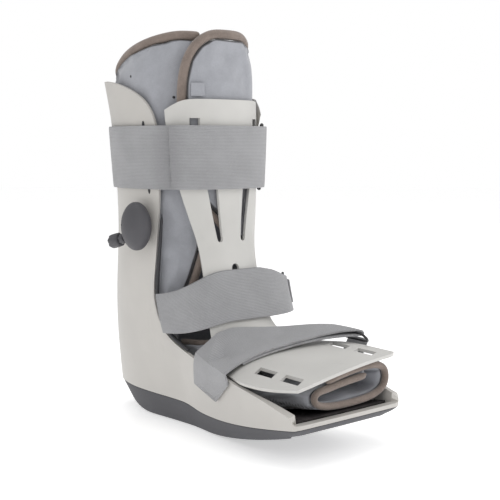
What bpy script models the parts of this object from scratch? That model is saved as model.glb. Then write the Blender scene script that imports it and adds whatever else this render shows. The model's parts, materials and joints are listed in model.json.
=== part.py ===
"""A medical walking boot: rocker sole, plastic shell, padded liner, front plate, straps and air pump.

Metres, +Z up. The toes point towards -Y, and the side that carries the pump is -X. The leg's axis
passes through the origin, which lies on the floor, on the sole's flat tread.
"""
import math

import bmesh
import bpy
from mathutils import Vector

# Driving sizes, in metres.
SOLE_LENGTH = 0.302
SOLE_WIDTH = 0.132
SOLE_THICKNESS = 0.0244
SOLE_UNDERCUT = 0.009
HEEL_BACK = 0.085
BOOT_HEIGHT = 0.366
CALF_WIDTH = 0.122
CALF_BACK = 0.0765
SHELL_WALL = 0.003
TOE_RIM = 0.007
FLARE = 0.009
FAR_WING = 0.10
FAR_WING_FLARE = 0.008
INSOLE_THICKNESS = 0.003
LINER_THICKNESS = 0.008
FOOT_PAD = 0.007
ANKLE_BULGE = 0.009
PLATE_WALL = 0.0028
PLATE_LAP = 0.008
STRAP_THICKNESS = 0.0019
CALF_STRAP_WIDTH = 0.058
ANKLE_STRAP_WIDTH = 0.044
FOREFOOT_STRAP_WIDTH = 0.040
BINDING_RADIUS = 0.0038
TRIM_RADIUS = 0.0021
RING_WIRE = 0.0013
BULB_LENGTH = 0.046
BULB_WIDTH = 0.036
BULB_DEPTH = 0.026
COLLAR_WIDTH = 0.010
COLLAR_LENGTH = 0.006
VALVE_WIDTH = 0.014
VALVE_LENGTH = 0.013
SLOT_WIDTH = 0.0085
SHIN_SLOT_WIDTH = 0.012
TOE_SLOT_LENGTH = 0.021
TOE_SLOT_WIDTH = 0.0115
TOE_SLOT_SKEW = 0.002
ANKLE_HOLE = 0.0090
TAB_LENGTH = 0.012
PLATE_TOP_DROP = 0.010
PLATE_NEAR_ROUND = 0.030
PLATE_FAR_ROUND = 0.007
ANCHOR_BULGE = 0.002

# Clearances, in metres.
GAP = 0.0003
LAYER_GAP = 0.0006
SHELL_ROOM = 0.0010
PLATE_ROOM = 0.0020
BINDING_ROOM = 0.0017

# The plate reaches past the calf by its lap on each side.
PLATE_WIDTH = CALF_WIDTH + 2 * PLATE_LAP

# Squareness of the rounded outlines: 2 is an ellipse, and more is boxier.
FRONT_SQUARE = 2.6
HEEL_SQUARE = 2.5
CALF_SQUARE = 2.1
TOE_SQUARE = 9.0
PLATE_CORNER_SQUARE = 5.0
TOE_ROUND = 0.013

# Where the straps and the pump sit: heights as shares of the boot's, angles in degrees round from the
# front over the pump's side, and the pump's place on the shell's outline.
CALF_STRAP_HEIGHT = 0.6845
CALF_STRAP_START = 296
CALF_STRAP_FOLD = -50
CALF_STRAP_END = 58
ANKLE_STRAP_HEIGHT = 0.342
ANKLE_STRAP_DROP = 0.050
ANKLE_STRAP_START = 75
ANKLE_STRAP_FOLD = -43
ANKLE_STRAP_END = 77
ANKLE_TAPER = 0.26
ANKLE_NEAR_TAPER = 0.18
ANKLE_DROP_END = 80
ANKLE_REACH = 0.077
ANKLE_SQUARE = 3.2
ANKLE_LIFT = 0.0026
RING_SPAN = 13
FOREFOOT_RING_DROP = 0.008
FOLD_STEPS = 4
STRAP_STEP = 8
PUMP_PLACE = 1.935
PUMP_HEIGHT = 0.512
VALVE_AXIS = (-0.1, 1.0, -0.25)
VALVE_BELOW = 30
INSTEP_TOP = 0.245
ANKLE = 0.404
TAB_ANGLES = (379, 392)
TAB_HEIGHT = 0.836

# How the surfaces blend. Heights are shares of the boot's, places are on the outline, and angles are
# in degrees round from the front. Four numbers start, reach, leave and end a swelling.
FLARE_HEIGHTS = (0.779, 0.888)
FLARE_PLACES = (1.9, 2.7)
SOLE_BLEND = (0.191, 0.355)
SQUARE_BLEND = (0.164, 0.546)
MIDDLE_INSET = 0.25
RIM_START = (0.83, 0.96)
WING_HEIGHTS = (0.75, 0.79, 0.84, 0.87)
WING_POWER = 4
WING_LEAN_HEIGHTS = (0.777, 0.809)
WING_LEAN_PLACES = (1.78, 1.88)
COLLAR_PULL = 0.05
COLLAR_PULL_START = 0.84
LAP_ANGLES = (52, 92)
BULGE_HEIGHTS = (0.27, 0.36, 0.40)
BULGE_ANGLES = (292, 312, 320, 336)
FOOT_LAP_START = (0.56, 0.66)
FOOT_LAP_ANGLES = (38, 95)
FLAP_FOOT_ROW = 6
ARCH_FOOT_ROW = 2
INSTEP_RINGS = 4
TRIM_HEIGHTS = (0.19, 0.60)

# The plate's edges and its openings. Places are shares of the calf's or plate's half-width, heights of
# the boot's, and places along the foot of the sole's length.
PLATE_TOE_START = 0.85
PLATE_TOP_REACH = 0.09
PLATE_TOP_SQUARE = 12
SHIN_SLOT_ENDS = ((0.37, 0.640, 1.0), (0.23, 0.4797, 0.50))
TOP_SLOT_ASIDE = 0.60
TOP_SLOT_HEIGHT = 0.770
TOE_SLOT_ASIDE = 0.66
TOE_SLOT_PLACES = (0.533, 0.636)
TOE_CUTTER_HEIGHTS = (0.12, 0.28)
CUTTER_REACH = (0.30, 0.12)

# The straps' ways. The forefoot strap runs over the plate from its pump's edge (-1) to its far edge
# (1): each edge row is its middle, slope and curve down the plate, and each tail row is where an edge
# starts and ends, as shares of the sole's length and of the boot's height, with the end's point between.
FOLD_EASE = 1.1
SETTLE_STEPS = 6
ANKLE_FRONT = 10
ANKLE_SIDE = 55
FOREFOOT_START = -0.75
FOREFOOT_END = -0.92
FOREFOOT_FOLD = 0.08
FOREFOOT_STEPS = 8
FOREFOOT_DROPS = 5
FOREFOOT_SETTLE = (0.35, 0.9)
FOREFOOT_EDGES = ((0.697, 0.10, 0.045), (0.855, 0.047, 0.021))
FOREFOOT_SLACK = (0.008, 0.005)
FOREFOOT_SLACK_START = -0.4
FOREFOOT_TAIL = (
    (0.5530, 0.2120, 0.5340, 0.1310),
    (0.6357, 0.1990, 0.6500, 0.1040),
    (0.7260, 0.1850, 0.7330, 0.1580),
)
FOREFOOT_RING_SIDE = 0.14
FOREFOOT_RING_END = 1.12
ANCHOR_LAP = 2
ANCHOR_HEAD = 0.84
ANCHOR_FOOT = 0.60
ANKLE_ANCHOR_ANGLE = 262
FOREFOOT_ANCHOR_PLACE = 0.757
FOREFOOT_ANCHOR_HEIGHT = 0.125

# The way the solid's wall grows from each surface: against its faces' normals (-1) or along them (1).
SHELL_SIDE = 1
PLATE_SIDE = 1
WRAP_SIDE = 1
FOOT_SIDE = -1
STRAP_SIDE = 1
FOREFOOT_SIDE = -1
TAB_SIDE = 1

# Base colours, as linear red, green and blue.
SOLE_GREY = (0.10, 0.10, 0.11)
SHELL_IVORY = (0.58, 0.56, 0.53)
PLATE_IVORY = (0.66, 0.65, 0.63)
INSOLE_BLACK = (0.030, 0.026, 0.026)
LINER_GREY = (0.42, 0.43, 0.46)
STRAP_GREY = (0.42, 0.425, 0.43)
TRIM_BLACK = (0.05, 0.05, 0.055)
RING_BLACK = (0.02, 0.02, 0.022)
TAUPE = (0.24, 0.195, 0.17)
PUMP_GREY = (0.098, 0.096, 0.105)

# The sole, heel to toe. Columns: place along the sole's length, half-width as a share of half the
# sole's width, and the top and bottom heights as shares of the sole's thickness.
SOLE_ROWS = (
    (0.00, 0.597, 1.14, 0.86),
    (0.07, 0.597, 1.10, 0.44),
    (0.12, 0.595, 1.07, 0.20),
    (0.17, 0.593, 1.04, 0.04),
    (0.20, 0.592, 1.03, 0.00),
    (0.28, 0.591, 1.00, 0.00),
    (0.43, 0.610, 0.96, 0.00),
    (0.545, 0.702, 0.79, 0.00),
    (0.65, 0.806, 0.81, 0.13),
    (0.77, 0.905, 0.94, 0.39),
    (0.88, 0.972, 1.12, 0.70),
    (1.00, 1.000, 1.33, 1.08),
)

# The liner's outer face, floor to top. Columns: share of the boot's height, half-width as a share of
# half the calf's width, and depth behind the leg's axis as a share of the calf's.
LEG_ROWS = (
    (0.06, 0.580, 1.060),
    (0.10, 0.620, 1.058),
    (0.165, 0.700, 1.058),
    (0.27, 0.780, 1.052),
    (0.33, 0.805, 1.040),
    (0.44, 0.845, 0.985),
    (0.575, 0.902, 0.928),
    (0.68, 0.958, 0.948),
    (0.765, 0.990, 0.980),
    (0.82, 1.000, 1.000),
    (0.89, 0.985, 1.000),
    (0.96, 0.930, 0.955),
    (1.00, 0.850, 0.880),
)

# The front plate's middle line, top to toe. Columns: distance before the leg's axis as a share of the
# sole's length, height as a share of the boot's, half-width and arch as shares of half the plate's
# width, the turn of its edges from back (0) to down (1), and its roll towards the pump's side.
PLATE_ROWS = (
    (0.2150, 0.829, 0.806, 0.900, 0.00, 0.0),
    (0.2170, 0.765, 0.800, 0.900, 0.00, 0.0),
    (0.2180, 0.683, 0.757, 0.890, 0.00, 0.0),
    (0.2190, 0.607, 0.696, 0.877, 0.00, 0.0),
    (0.2200, 0.519, 0.580, 0.855, 0.00, 0.0),
    (0.2265, 0.459, 0.500, 0.812, 0.05, 0.0),
    (0.2400, 0.404, 0.486, 0.768, 0.12, 0.1),
    (0.2630, 0.339, 0.500, 0.725, 0.30, 0.2),
    (0.2870, 0.290, 0.543, 0.696, 0.50, 0.4),
    (0.3250, 0.251, 0.638, 0.797, 0.75, 0.7),
    (0.3850, 0.2270, 0.797, 1.087, 0.95, 0.9),
    (0.4550, 0.2180, 0.905, 1.520, 1.00, 1.0),
    (0.5550, 0.2110, 0.985, 1.880, 1.00, 1.0),
    (0.7100, 0.2050, 0.965, 1.950, 1.00, 1.0),
)
PLATE_ROLL = math.radians(7.7)

# The shell's ribs, toe to heel, each from the sole line up to the shell's edge. Columns: the rib's
# foot and its top as places on the outline (0 the toe's middle, 1 the toe corner's end, 2 beside the
# leg's axis, 3 the heel's middle), the top's height as a share of the boot's, and how far the rib bows
# towards the heel on its way.
SHELL_RIBS = (
    (0.00, 0.00, 0.0990, 0.000),
    (0.30, 0.30, 0.0990, 0.000),
    (0.50, 0.50, 0.0990, 0.000),
    (0.70, 0.70, 0.1000, 0.000),
    (0.85, 0.86, 0.1070, 0.000),
    (0.95, 0.96, 0.1180, 0.000),
    (1.03, 1.02, 0.1260, 0.000),
    (1.10, 1.09, 0.1400, 0.000),
    (1.20, 1.19, 0.1530, 0.000),
    (1.33, 1.34, 0.1660, 0.000),
    (1.46, 1.52, 0.1830, 0.000),
    (1.56, 1.68, 0.2000, 0.000),
    (1.64, 1.795, 0.2180, 0.000),
    (1.70, 1.865, 0.2430, 0.000),
    (1.755, 1.905, 0.2830, 0.000),
    (1.80, 1.925, 0.3390, 0.030),
    (1.84, 1.895, 0.4250, 0.085),
    (1.88, 1.860, 0.5500, 0.095),
    (1.92, 1.842, 0.6700, 0.100),
    (1.96, 1.842, 0.7450, 0.095),
    (2.00, 1.862, 0.7950, 0.085),
    (2.08, 1.925, 0.8350, 0.065),
    (2.18, 2.04, 0.8590, 0.040),
    (2.32, 2.20, 0.8740, 0.020),
    (2.48, 2.40, 0.8810, 0.000),
    (2.65, 2.60, 0.8830, 0.000),
    (2.83, 2.80, 0.8820, 0.000),
    (3.00, 3.00, 0.8810, 0.000),
)
WRAP_STEPS = (0.0, 0.10, 0.20, 0.28, 0.36, 0.45, 0.55, 0.68, 0.80, 0.88, 0.94, 0.98, 1.0)
SHELL_WALL_STEPS = (0.0, 0.06, 0.16, 0.30, 0.44, 0.56, 0.68, 0.83, 1.0)
FLOOR_STEPS = (0.5, 1.0)
WRAP_COLUMNS = 41
FOOT_COLUMNS = 24
FOOT_RINGS = 10
PLATE_COLUMNS = 16
PLATE_STATIONS = 24
SOLE_PLACES = tuple(rib[0] for rib in SHELL_RIBS)

# The leg wrap's two free edges, floor to top. Columns: share of the boot's height, and the angle in
# degrees of the inner layer's edge and of the flap's edge, round from the front over the pump's side.
WRAP_EDGES = (
    (0.100, 74.0, 286.0),
    (0.200, 72.0, 288.0),
    (0.270, 66.0, 294.0),
    (0.330, 60.0, 300.0),
    (0.382, 49.0, 311.0),
    (0.430, 36.0, 324.0),
    (0.480, 26.0, 345.0),
    (0.520, 20.0, 362.0),
    (0.600, 16.0, 382.0),
    (0.680, 10.0, 392.0),
    (0.760, 4.0, 396.0),
    (0.840, 2.0, 396.0),
    (0.880, 2.0, 395.0),
    (0.920, 2.0, 391.0),
    (0.950, 2.0, 384.0),
    (0.965, 2.0, 378.0),
    (0.978, 2.0, 368.0),
)

# The leg wrap's top edge. Columns: angle in degrees, and height as a share of the boot's.
WRAP_TOP = (
    (15.0, 0.994),
    (50.0, 0.996),
    (75.0, 0.986),
    (100.0, 0.962),
    (125.0, 0.926),
    (150.0, 0.904),
    (180.0, 0.897),
    (215.0, 0.904),
    (245.0, 0.923),
    (270.0, 0.942),
    (295.0, 0.967),
    (320.0, 0.990),
    (345.0, 1.000),
    (384.0, 1.000),
    (403.0, 1.000),
)

# The foot wrap, heel side to toes. Columns: place along the sole's length, the two edges' angles in
# degrees round the section from its top over the pump's side, and how far the pump's side stands in
# from the shell and the far side leans out over its edge, as shares of the room inside the shell.
FOOT_ROWS = (
    (0.375, 66.0, 294.0, 0.00, 0.00),
    (0.440, 62.0, 298.0, 0.00, 0.00),
    (0.500, 54.0, 306.0, 0.00, 0.00),
    (0.550, 42.0, 318.0, 0.02, 0.00),
    (0.600, 20.0, 345.0, 0.06, 0.00),
    (0.660, 2.0, 372.0, 0.10, 0.00),
    (0.760, -14.0, 386.0, 0.22, 0.00),
    (0.860, -22.0, 392.0, 0.34, 0.02),
    (0.944, -24.0, 395.0, 0.38, 0.08),
)


def monotone(rows, column, at):
    """A smooth curve through a table's column, which never swings past its rows."""
    xs = [row[0] for row in rows]
    ys = [row[column] for row in rows]
    if at <= xs[0]:
        return ys[0]
    if at >= xs[-1]:
        return ys[-1]
    slopes = [(ys[i + 1] - ys[i]) / (xs[i + 1] - xs[i]) for i in range(len(xs) - 1)]
    k = max(i for i in range(len(slopes)) if xs[i] <= at)

    def tangent(i):
        if i == 0 or i == len(slopes):
            return slopes[min(i, len(slopes) - 1)]
        before, after = slopes[i - 1], slopes[i]
        return 0.0 if before * after <= 0 else 2 * before * after / (before + after)

    span = xs[k + 1] - xs[k]
    t = (at - xs[k]) / span
    rise = (2 * t**3 - 3 * t**2 + 1) * ys[k] + (3 * t**2 - 2 * t**3) * ys[k + 1]
    return rise + span * ((t**3 - 2 * t**2 + t) * tangent(k) + (t**3 - t**2) * tangent(k + 1))


def smoothstep(low, high, x):
    t = min(max((x - low) / (high - low), 0.0), 1.0)
    return t * t * (3 - 2 * t)


def mix(a, b, t):
    return a + (b - a) * t


def corner(angle, half_width, depth, square):
    """A point on a rounded quarter outline: angle 0 is on the depth's axis, 90 degrees on the width's."""
    power = 2 / square
    return half_width * abs(math.sin(angle)) ** power, depth * abs(math.cos(angle)) ** power


# Objects

def material(name, colour, roughness, metallic=0.0):
    made = bpy.data.materials.new(name)
    made.use_nodes = True
    shader = made.node_tree.nodes["Principled BSDF"]
    shader.inputs["Base Color"].default_value = (*colour, 1.0)
    shader.inputs["Roughness"].default_value = roughness
    shader.inputs["Metallic"].default_value = metallic
    made.diffuse_color = (*colour, 1.0)
    return made


def finish(obj, name, colour, roughness, metallic=0.0):
    obj.name = name
    obj.data.name = name
    obj.data.materials.clear()
    obj.data.materials.append(material(name, colour, roughness, metallic))
    for holder in list(obj.users_collection):
        holder.objects.unlink(obj)
    PARTS.objects.link(obj)
    if obj.type == "MESH":
        obj.data.shade_smooth()
        obj.data.set_sharp_from_angle(angle=math.radians(40))
    return obj


def grid(place, columns, rows):
    """A grid primitive whose points are laid on a surface: place takes a column and a row number."""
    bpy.ops.mesh.primitive_grid_add(x_subdivisions=columns - 1, y_subdivisions=rows - 1, size=1)
    obj = bpy.context.active_object
    for vertex in obj.data.vertices:
        i = round((vertex.co.x + 0.5) * (columns - 1))
        j = round((vertex.co.y + 0.5) * (rows - 1))
        vertex.co = place(i, j)
    return obj


def mirrored(obj):
    modifier = obj.modifiers.new("Mirror", "MIRROR")
    modifier.merge_threshold = 0.0001
    return modifier


def weld_middle(obj):
    """Joins the points that a closed outline lays twice."""
    shape = bmesh.new()
    shape.from_mesh(obj.data)
    bmesh.ops.remove_doubles(shape, verts=shape.verts, dist=0.00001)
    shape.to_mesh(obj.data)
    shape.free()


def thickened(obj, thickness, side, weights=None):
    """Gives an open surface its wall. Side -1 thickens against the faces' normals, and 1 along them."""
    modifier = obj.modifiers.new("Solidify", "SOLIDIFY")
    modifier.thickness = thickness
    modifier.offset = side
    modifier.use_quality_normals = True
    if weights:
        group = obj.vertex_groups.new(name="wall")
        for index, weight in enumerate(weights):
            group.add([index], weight, "REPLACE")
        modifier.vertex_group = "wall"
    return modifier


def face_outwards(obj):
    """Turns a closed mesh's faces out, by the sign of its volume as evaluated."""
    seen = obj.evaluated_get(bpy.context.evaluated_depsgraph_get())
    mesh = seen.to_mesh()
    mesh.calc_loop_triangles()
    volume = 0.0
    for triangle in mesh.loop_triangles:
        a, b, c = (mesh.vertices[i].co for i in triangle.vertices)
        volume += a.dot(b.cross(c))
    seen.to_mesh_clear()
    if volume < 0:
        obj.data.flip_normals()


def tube(name, points, radius, colour, roughness, cyclic=False, sides=2):
    """A round bar along a list of points."""
    data = bpy.data.curves.new(name, "CURVE")
    data.dimensions = "3D"
    data.bevel_depth = radius
    data.bevel_resolution = sides
    data.use_fill_caps = True
    spline = data.splines.new("POLY")
    spline.points.add(len(points) - 1)
    for point, place in zip(spline.points, points):
        point.co = (*place, 1.0)
    spline.use_cyclic_u = cyclic
    obj = bpy.data.objects.new(name, data)
    bpy.context.scene.collection.objects.link(obj)
    return finish(obj, name, colour, roughness)


def hull(name, points):
    """The convex solid round some points."""
    mesh = bpy.data.meshes.new(name)
    shape = bmesh.new()
    for point in points:
        shape.verts.new(point)
    made = bmesh.ops.convex_hull(shape, input=shape.verts)
    unused = [item for item in made["geom_interior"] if isinstance(item, bmesh.types.BMVert)]
    bmesh.ops.delete(shape, geom=unused, context="VERTS")
    bmesh.ops.recalc_face_normals(shape, faces=shape.faces)
    shape.to_mesh(mesh)
    shape.free()
    obj = bpy.data.objects.new(name, mesh)
    bpy.context.scene.collection.objects.link(obj)
    return obj


def cut(obj, cutter):
    cutter.hide_render = True
    cutter.display_type = "WIRE"
    for holder in list(cutter.users_collection):
        holder.objects.unlink(cutter)
    CUTTERS.objects.link(cutter)
    modifier = obj.modifiers.new("Cut", "BOOLEAN")
    modifier.operation = "DIFFERENCE"
    modifier.solver = "EXACT"
    modifier.object = cutter


# The boot's surfaces

def along(share):
    """How far forward of the heel's back a share of the sole's length lies, as a Y value."""
    return HEEL_BACK - share * SOLE_LENGTH


def share_along(y):
    return (HEEL_BACK - y) / SOLE_LENGTH


def up(share):
    return share * BOOT_HEIGHT


def sole_half_width(y):
    return monotone(SOLE_ROWS, 1, share_along(y)) * SOLE_WIDTH / 2


def sole_top(y):
    return monotone(SOLE_ROWS, 2, share_along(y)) * SOLE_THICKNESS


def sole_bottom(y):
    return monotone(SOLE_ROWS, 3, share_along(y)) * SOLE_THICKNESS


def outline(place, half_width, heel_depth, heel_square, inset=0.0):
    """A point of the boot's outline in plan, on the pump's side. half_width is a function of y."""
    toe = along(1.0) + inset
    if place <= 1:
        across, back = corner(place * math.pi / 2, 1.0, TOE_ROUND, TOE_SQUARE)
        y = toe + TOE_ROUND - back
        return -across * max(half_width(y), 0.0), y
    if place <= 2:
        y = mix(toe + TOE_ROUND, 0.0, place - 1)
        return -half_width(y), y
    across, back = corner((3 - place) * math.pi / 2, half_width(0.0), heel_depth, heel_square)
    return -across, back


def liner_half_width(z):
    return monotone(LEG_ROWS, 1, z / BOOT_HEIGHT) * CALF_WIDTH / 2


def liner_back(z):
    return monotone(LEG_ROWS, 2, z / BOOT_HEIGHT) * CALF_BACK


def shell_square(z):
    return mix(HEEL_SQUARE, CALF_SQUARE, smoothstep(*map(up, SQUARE_BLEND), z))


def shell_point(place, z):
    """The shell's outer face on the pump's side, at a place on the outline and a height."""
    out = SHELL_WALL + LAYER_GAP
    flare = FLARE * smoothstep(*map(up, FLARE_HEIGHTS), z) * smoothstep(*FLARE_PLACES, place)

    def half_width(y):
        low = sole_top(y) - SOLE_THICKNESS
        side = sole_half_width(y) + liner_half_width(max(z - low, 0.0)) - liner_half_width(SOLE_THICKNESS)
        bend = min(abs(y) / (wrap_depth(z) + out), 1.0) ** FRONT_SQUARE if y < 0 else 0.0
        high = (liner_half_width(z) + out) * (1 - bend) ** (1 / FRONT_SQUARE)
        return max(mix(side, high, smoothstep(*map(up, SOLE_BLEND), z)), high) + flare

    x, y = outline(place, half_width, liner_back(z) + out + flare, shell_square(z))
    return Vector((x, y, z))


def front_depth(z):
    """How far before the leg's axis the front plate's middle line lies at a height above the instep."""
    rows = [(row[1], row[0]) for row in reversed(PLATE_ROWS)]
    return monotone(rows, 1, z / BOOT_HEIGHT) * SOLE_LENGTH


def wrap_depth(z):
    """How far before the leg's axis the wrap's flap lies, under the plate."""
    pull = 1 - COLLAR_PULL * smoothstep(COLLAR_PULL_START, 1.0, z / BOOT_HEIGHT)
    return (front_depth(max(z, up(ANKLE))) - PLATE_WALL - PLATE_ROOM) * pull


def wrap_growth(angle):
    """How far the leg wrap dips, at its start, to pass under its own flap."""
    return -(LINER_THICKNESS + 3 * LAYER_GAP) * (1 - smoothstep(*LAP_ANGLES, angle))


def wrap_bulge(angle, z):
    """How far the leg wrap's far side swells out beside the plate, over the ankle."""
    low, middle, high = BULGE_HEIGHTS
    share = z / BOOT_HEIGHT
    round_ankle = smoothstep(low, middle, share) * (1 - smoothstep(middle, high, share))
    start, full, fade, end = BULGE_ANGLES
    return ANKLE_BULGE * round_ankle * smoothstep(start, full, angle) * (1 - smoothstep(fade, end, angle))


def wrap_point(angle, z, out=0.0):
    """The leg wrap's outer face, at an angle in degrees from the front round over the pump's side."""
    turn = math.radians(angle)
    lift = out + wrap_growth(angle) + wrap_bulge(angle, z)
    half_width = liner_half_width(z) + lift - SHELL_ROOM
    if math.cos(turn) >= 0:
        x, y = corner(turn, half_width, wrap_depth(z) + lift, FRONT_SQUARE)
        y = -y
    else:
        x, y = corner(turn, half_width, liner_back(z) + lift - SHELL_ROOM, shell_square(z))
    return Vector((math.copysign(x, -math.sin(turn)), y, z))


def plate_row(v):
    """The plate's size and place at a share of its length, read from its table."""
    at = v * (len(PLATE_ROWS) - 1)
    rows = [(i, *row) for i, row in enumerate(PLATE_ROWS)]
    return [monotone(rows, column, at) for column in range(1, 7)]


def plate_point(u, v, lift=0.0):
    """The plate's outer face: u runs from the pump's edge (-1) to the far edge (1), v from top to toe."""
    before, high, half, arch, turn, roll = plate_row(v)
    half *= PLATE_WIDTH / 2
    arch *= PLATE_WIDTH / 2
    corner_cut = 1 - abs(u) ** PLATE_CORNER_SQUARE
    x = half * u
    rise = 1 - (1 - min(abs(x) / arch, 0.999) ** FRONT_SQUARE) ** (1 / FRONT_SQUARE)
    depth = rise * front_depth(up(PLATE_ROWS[1][1]))
    y = -before * SOLE_LENGTH - lift * (1 - turn) + depth * (1 - turn)
    z = high * BOOT_HEIGHT + lift * turn - depth * turn + x * math.tan(PLATE_ROLL * roll)
    toe_round = mix(PLATE_NEAR_ROUND, PLATE_FAR_ROUND, smoothstep(-1, 1, u))
    corner_cut = 1 - max(corner_cut, 0.0) ** (1 / PLATE_CORNER_SQUARE)
    y += toe_round * smoothstep(PLATE_TOE_START, 1.0, v) * corner_cut
    z -= PLATE_TOP_DROP * smoothstep(0.0, PLATE_TOP_REACH, PLATE_TOP_REACH - v) * abs(u) ** PLATE_TOP_SQUARE
    return Vector((x, y, z))


# The pieces

def half_slab(name, rings, colour, roughness):
    """A closed flat solid from its half: rings of points from the top's middle line to the bottom's."""
    obj = grid(lambda i, j: rings[j][i], len(rings[0]), len(rings))
    mirrored(obj)
    face_outwards(obj)
    return finish(obj, name, colour, roughness)


def middle_y(place, inset):
    """Where on the middle line a rib of the outline ends, evenly from toe to heel."""
    return mix(along(1.0) + inset, HEEL_BACK - inset, place / 3)


def slab_rings(places, top, bottom, undercut, margin):
    """Rings of a slab: the middle line, the rim's top, its foot and the middle line again."""
    upper = [Vector((*sole_edge(place, margin), 0)) for place in places]
    lower = [Vector((*sole_edge(place, margin + undercut), 0)) for place in places]
    middle = [Vector((0, middle_y(place, MIDDLE_INSET * SOLE_WIDTH), 0)) for place in places]
    halfway = [(a + b) / 2 for a, b in zip(upper, middle)]
    low_half = [(a + b) / 2 for a, b in zip(lower, middle)]
    tops = [[Vector((p.x, p.y, top(p.y))) for p in ring] for ring in (middle, halfway, upper)]
    feet = [[Vector((p.x, p.y, bottom(p.y))) for p in ring] for ring in (lower, low_half, middle)]
    return tops + feet


def sole_edge(place, inset):
    def half_width(y):
        return sole_half_width(y) - inset

    return outline(place, half_width, HEEL_BACK - inset, HEEL_SQUARE, inset)


def outsole():
    rings = slab_rings(SOLE_PLACES, sole_top, sole_bottom, SOLE_UNDERCUT, 0.0)
    return half_slab("outsole", rings, SOLE_GREY, 0.75)


def floor_top(y):
    return sole_top(y) + GAP + SHELL_WALL


def insole():
    def bottom(y):
        return floor_top(y) + LAYER_GAP

    def top(y):
        return bottom(y) + INSOLE_THICKNESS

    rings = slab_rings(SOLE_PLACES[::2] + SOLE_PLACES[-1:], top, bottom, 0.0, TOE_RIM + LAYER_GAP)
    return half_slab("insole", rings, INSOLE_BLACK, 0.9)


def shell_rib_point(i, j, far=0):
    """The shell's outer face at one of its ribs, from its free edge (j = 0) down to the sole and in."""
    foot, head, high, bow = SHELL_RIBS[i]
    low_x, low_y = outline(foot, sole_half_width, HEEL_BACK, HEEL_SQUARE)
    if j < len(SHELL_WALL_STEPS):
        t = 1 - SHELL_WALL_STEPS[j]
        z = mix(sole_top(low_y) + GAP, up(high), t)
        start, full, fade, end = WING_HEIGHTS
        wing = smoothstep(start, full, high) * (1 - smoothstep(fade, end, high)) * t**WING_POWER
        place = mix(foot, head, t) + bow * math.sin(math.pi * t) - far * FAR_WING * wing
        point = shell_point(place, z)
        lean = smoothstep(*map(up, WING_LEAN_HEIGHTS), z) * (1 - smoothstep(*WING_LEAN_PLACES, place))
        point.x -= far * FAR_WING_FLARE * lean
        return point
    t = FLOOR_STEPS[j - len(SHELL_WALL_STEPS)]
    y = mix(low_y, middle_y(foot, MIDDLE_INSET * SOLE_WIDTH), t)
    return Vector((mix(low_x, 0.0, t), y, sole_top(y) + GAP))


def shell():
    """The shell round its whole outline, from the heel's middle by the pump's side and back to the heel."""
    last = len(SHELL_RIBS) - 1

    def place(i, j):
        if i <= last:
            return shell_rib_point(last - i, j)
        point = shell_rib_point(i - last, j, far=1)
        return Vector((-point.x, point.y, point.z))

    obj = grid(place, 2 * last + 1, len(SHELL_WALL_STEPS) + len(FLOOR_STEPS))
    weld_middle(obj)
    weights = []
    for vertex in obj.data.vertices:
        on_wall = vertex.co.z > sole_top(vertex.co.y) + 2 * GAP
        weights.append((wall_at(vertex.co.y) if on_wall else SHELL_WALL) / TOE_RIM)
    thickened(obj, TOE_RIM, SHELL_SIDE, weights)
    return finish(obj, "shell", SHELL_IVORY, 0.45)


def shin_plate():
    def place(i, j):
        return plate_point(mix(-1, 1, i / (PLATE_COLUMNS - 1)), j / (PLATE_STATIONS - 1))

    obj = grid(place, PLATE_COLUMNS, PLATE_STATIONS)
    thickened(obj, PLATE_WALL, PLATE_SIDE)
    for side in (-1, 1):
        cut(obj, shin_slot(side))
        cut(obj, top_slot(side))
        for y_share in TOE_SLOT_PLACES:
            cut(obj, toe_slot(side, y_share))
    cut(obj, ankle_hole())
    return finish(obj, "shin_plate", PLATE_IVORY, 0.4)


def disc(x, z, radius, depths, sides=12):
    turns = [2 * math.pi * i / sides for i in range(sides)]
    return [Vector((x + radius * math.cos(a), y, z + radius * math.sin(a))) for a in turns for y in depths]


def front_reach():
    return [-share * SOLE_LENGTH for share in CUTTER_REACH]


def shin_slot(side):
    """One of the two long tapered slots that lean together above the ankle."""
    ends = [
        disc(side * aside * CALF_WIDTH / 2, up(high), SHIN_SLOT_WIDTH / 2 * size, front_reach())
        for aside, high, size in SHIN_SLOT_ENDS
    ]
    return hull("shin_slot_cutter", ends[0] + ends[1])


def top_slot(side):
    x = side * TOP_SLOT_ASIDE * CALF_WIDTH / 2
    reach = front_reach()
    corners = [
        Vector((x + dx * SLOT_WIDTH / 2, y, up(TOP_SLOT_HEIGHT) + dz * SLOT_WIDTH / 2))
        for dx in (-1, 1)
        for dz in (-1, 1)
        for y in reach
    ]
    return hull("top_slot_cutter", corners)


def toe_slot(side, share):
    """A strap slot through the plate's toe end, along the foot."""
    x = side * TOE_SLOT_ASIDE * PLATE_WIDTH / 2
    y = -share * SOLE_LENGTH
    corners = [
        Vector((x + dx * TOE_SLOT_WIDTH / 2, y + dy * TOE_SLOT_LENGTH / 2 + dx * TOE_SLOT_SKEW, z))
        for dx in (-1, 1)
        for dy in (-1, 1)
        for z in map(up, TOE_CUTTER_HEIGHTS)
    ]
    return hull("toe_slot_cutter", corners)


def ankle_hole():
    return hull("ankle_hole_cutter", disc(0.0, up(ANKLE) + GAP, ANKLE_HOLE / 2, front_reach()))


def anchor(name, head, foot, bulge):
    """A short strap from a ring's far bar to the shell. head and foot take a place across it, -1 to 1."""
    def place(i, j):
        t = i / 4
        across = j - 1
        return head(across).lerp(foot(across), t) + bulge * math.sin(math.pi * t)

    obj = grid(place, 5, 3)
    thickened(obj, STRAP_THICKNESS, STRAP_SIDE)
    face_outwards(obj)
    return finish(obj, name, STRAP_GREY, 0.95)


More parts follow.
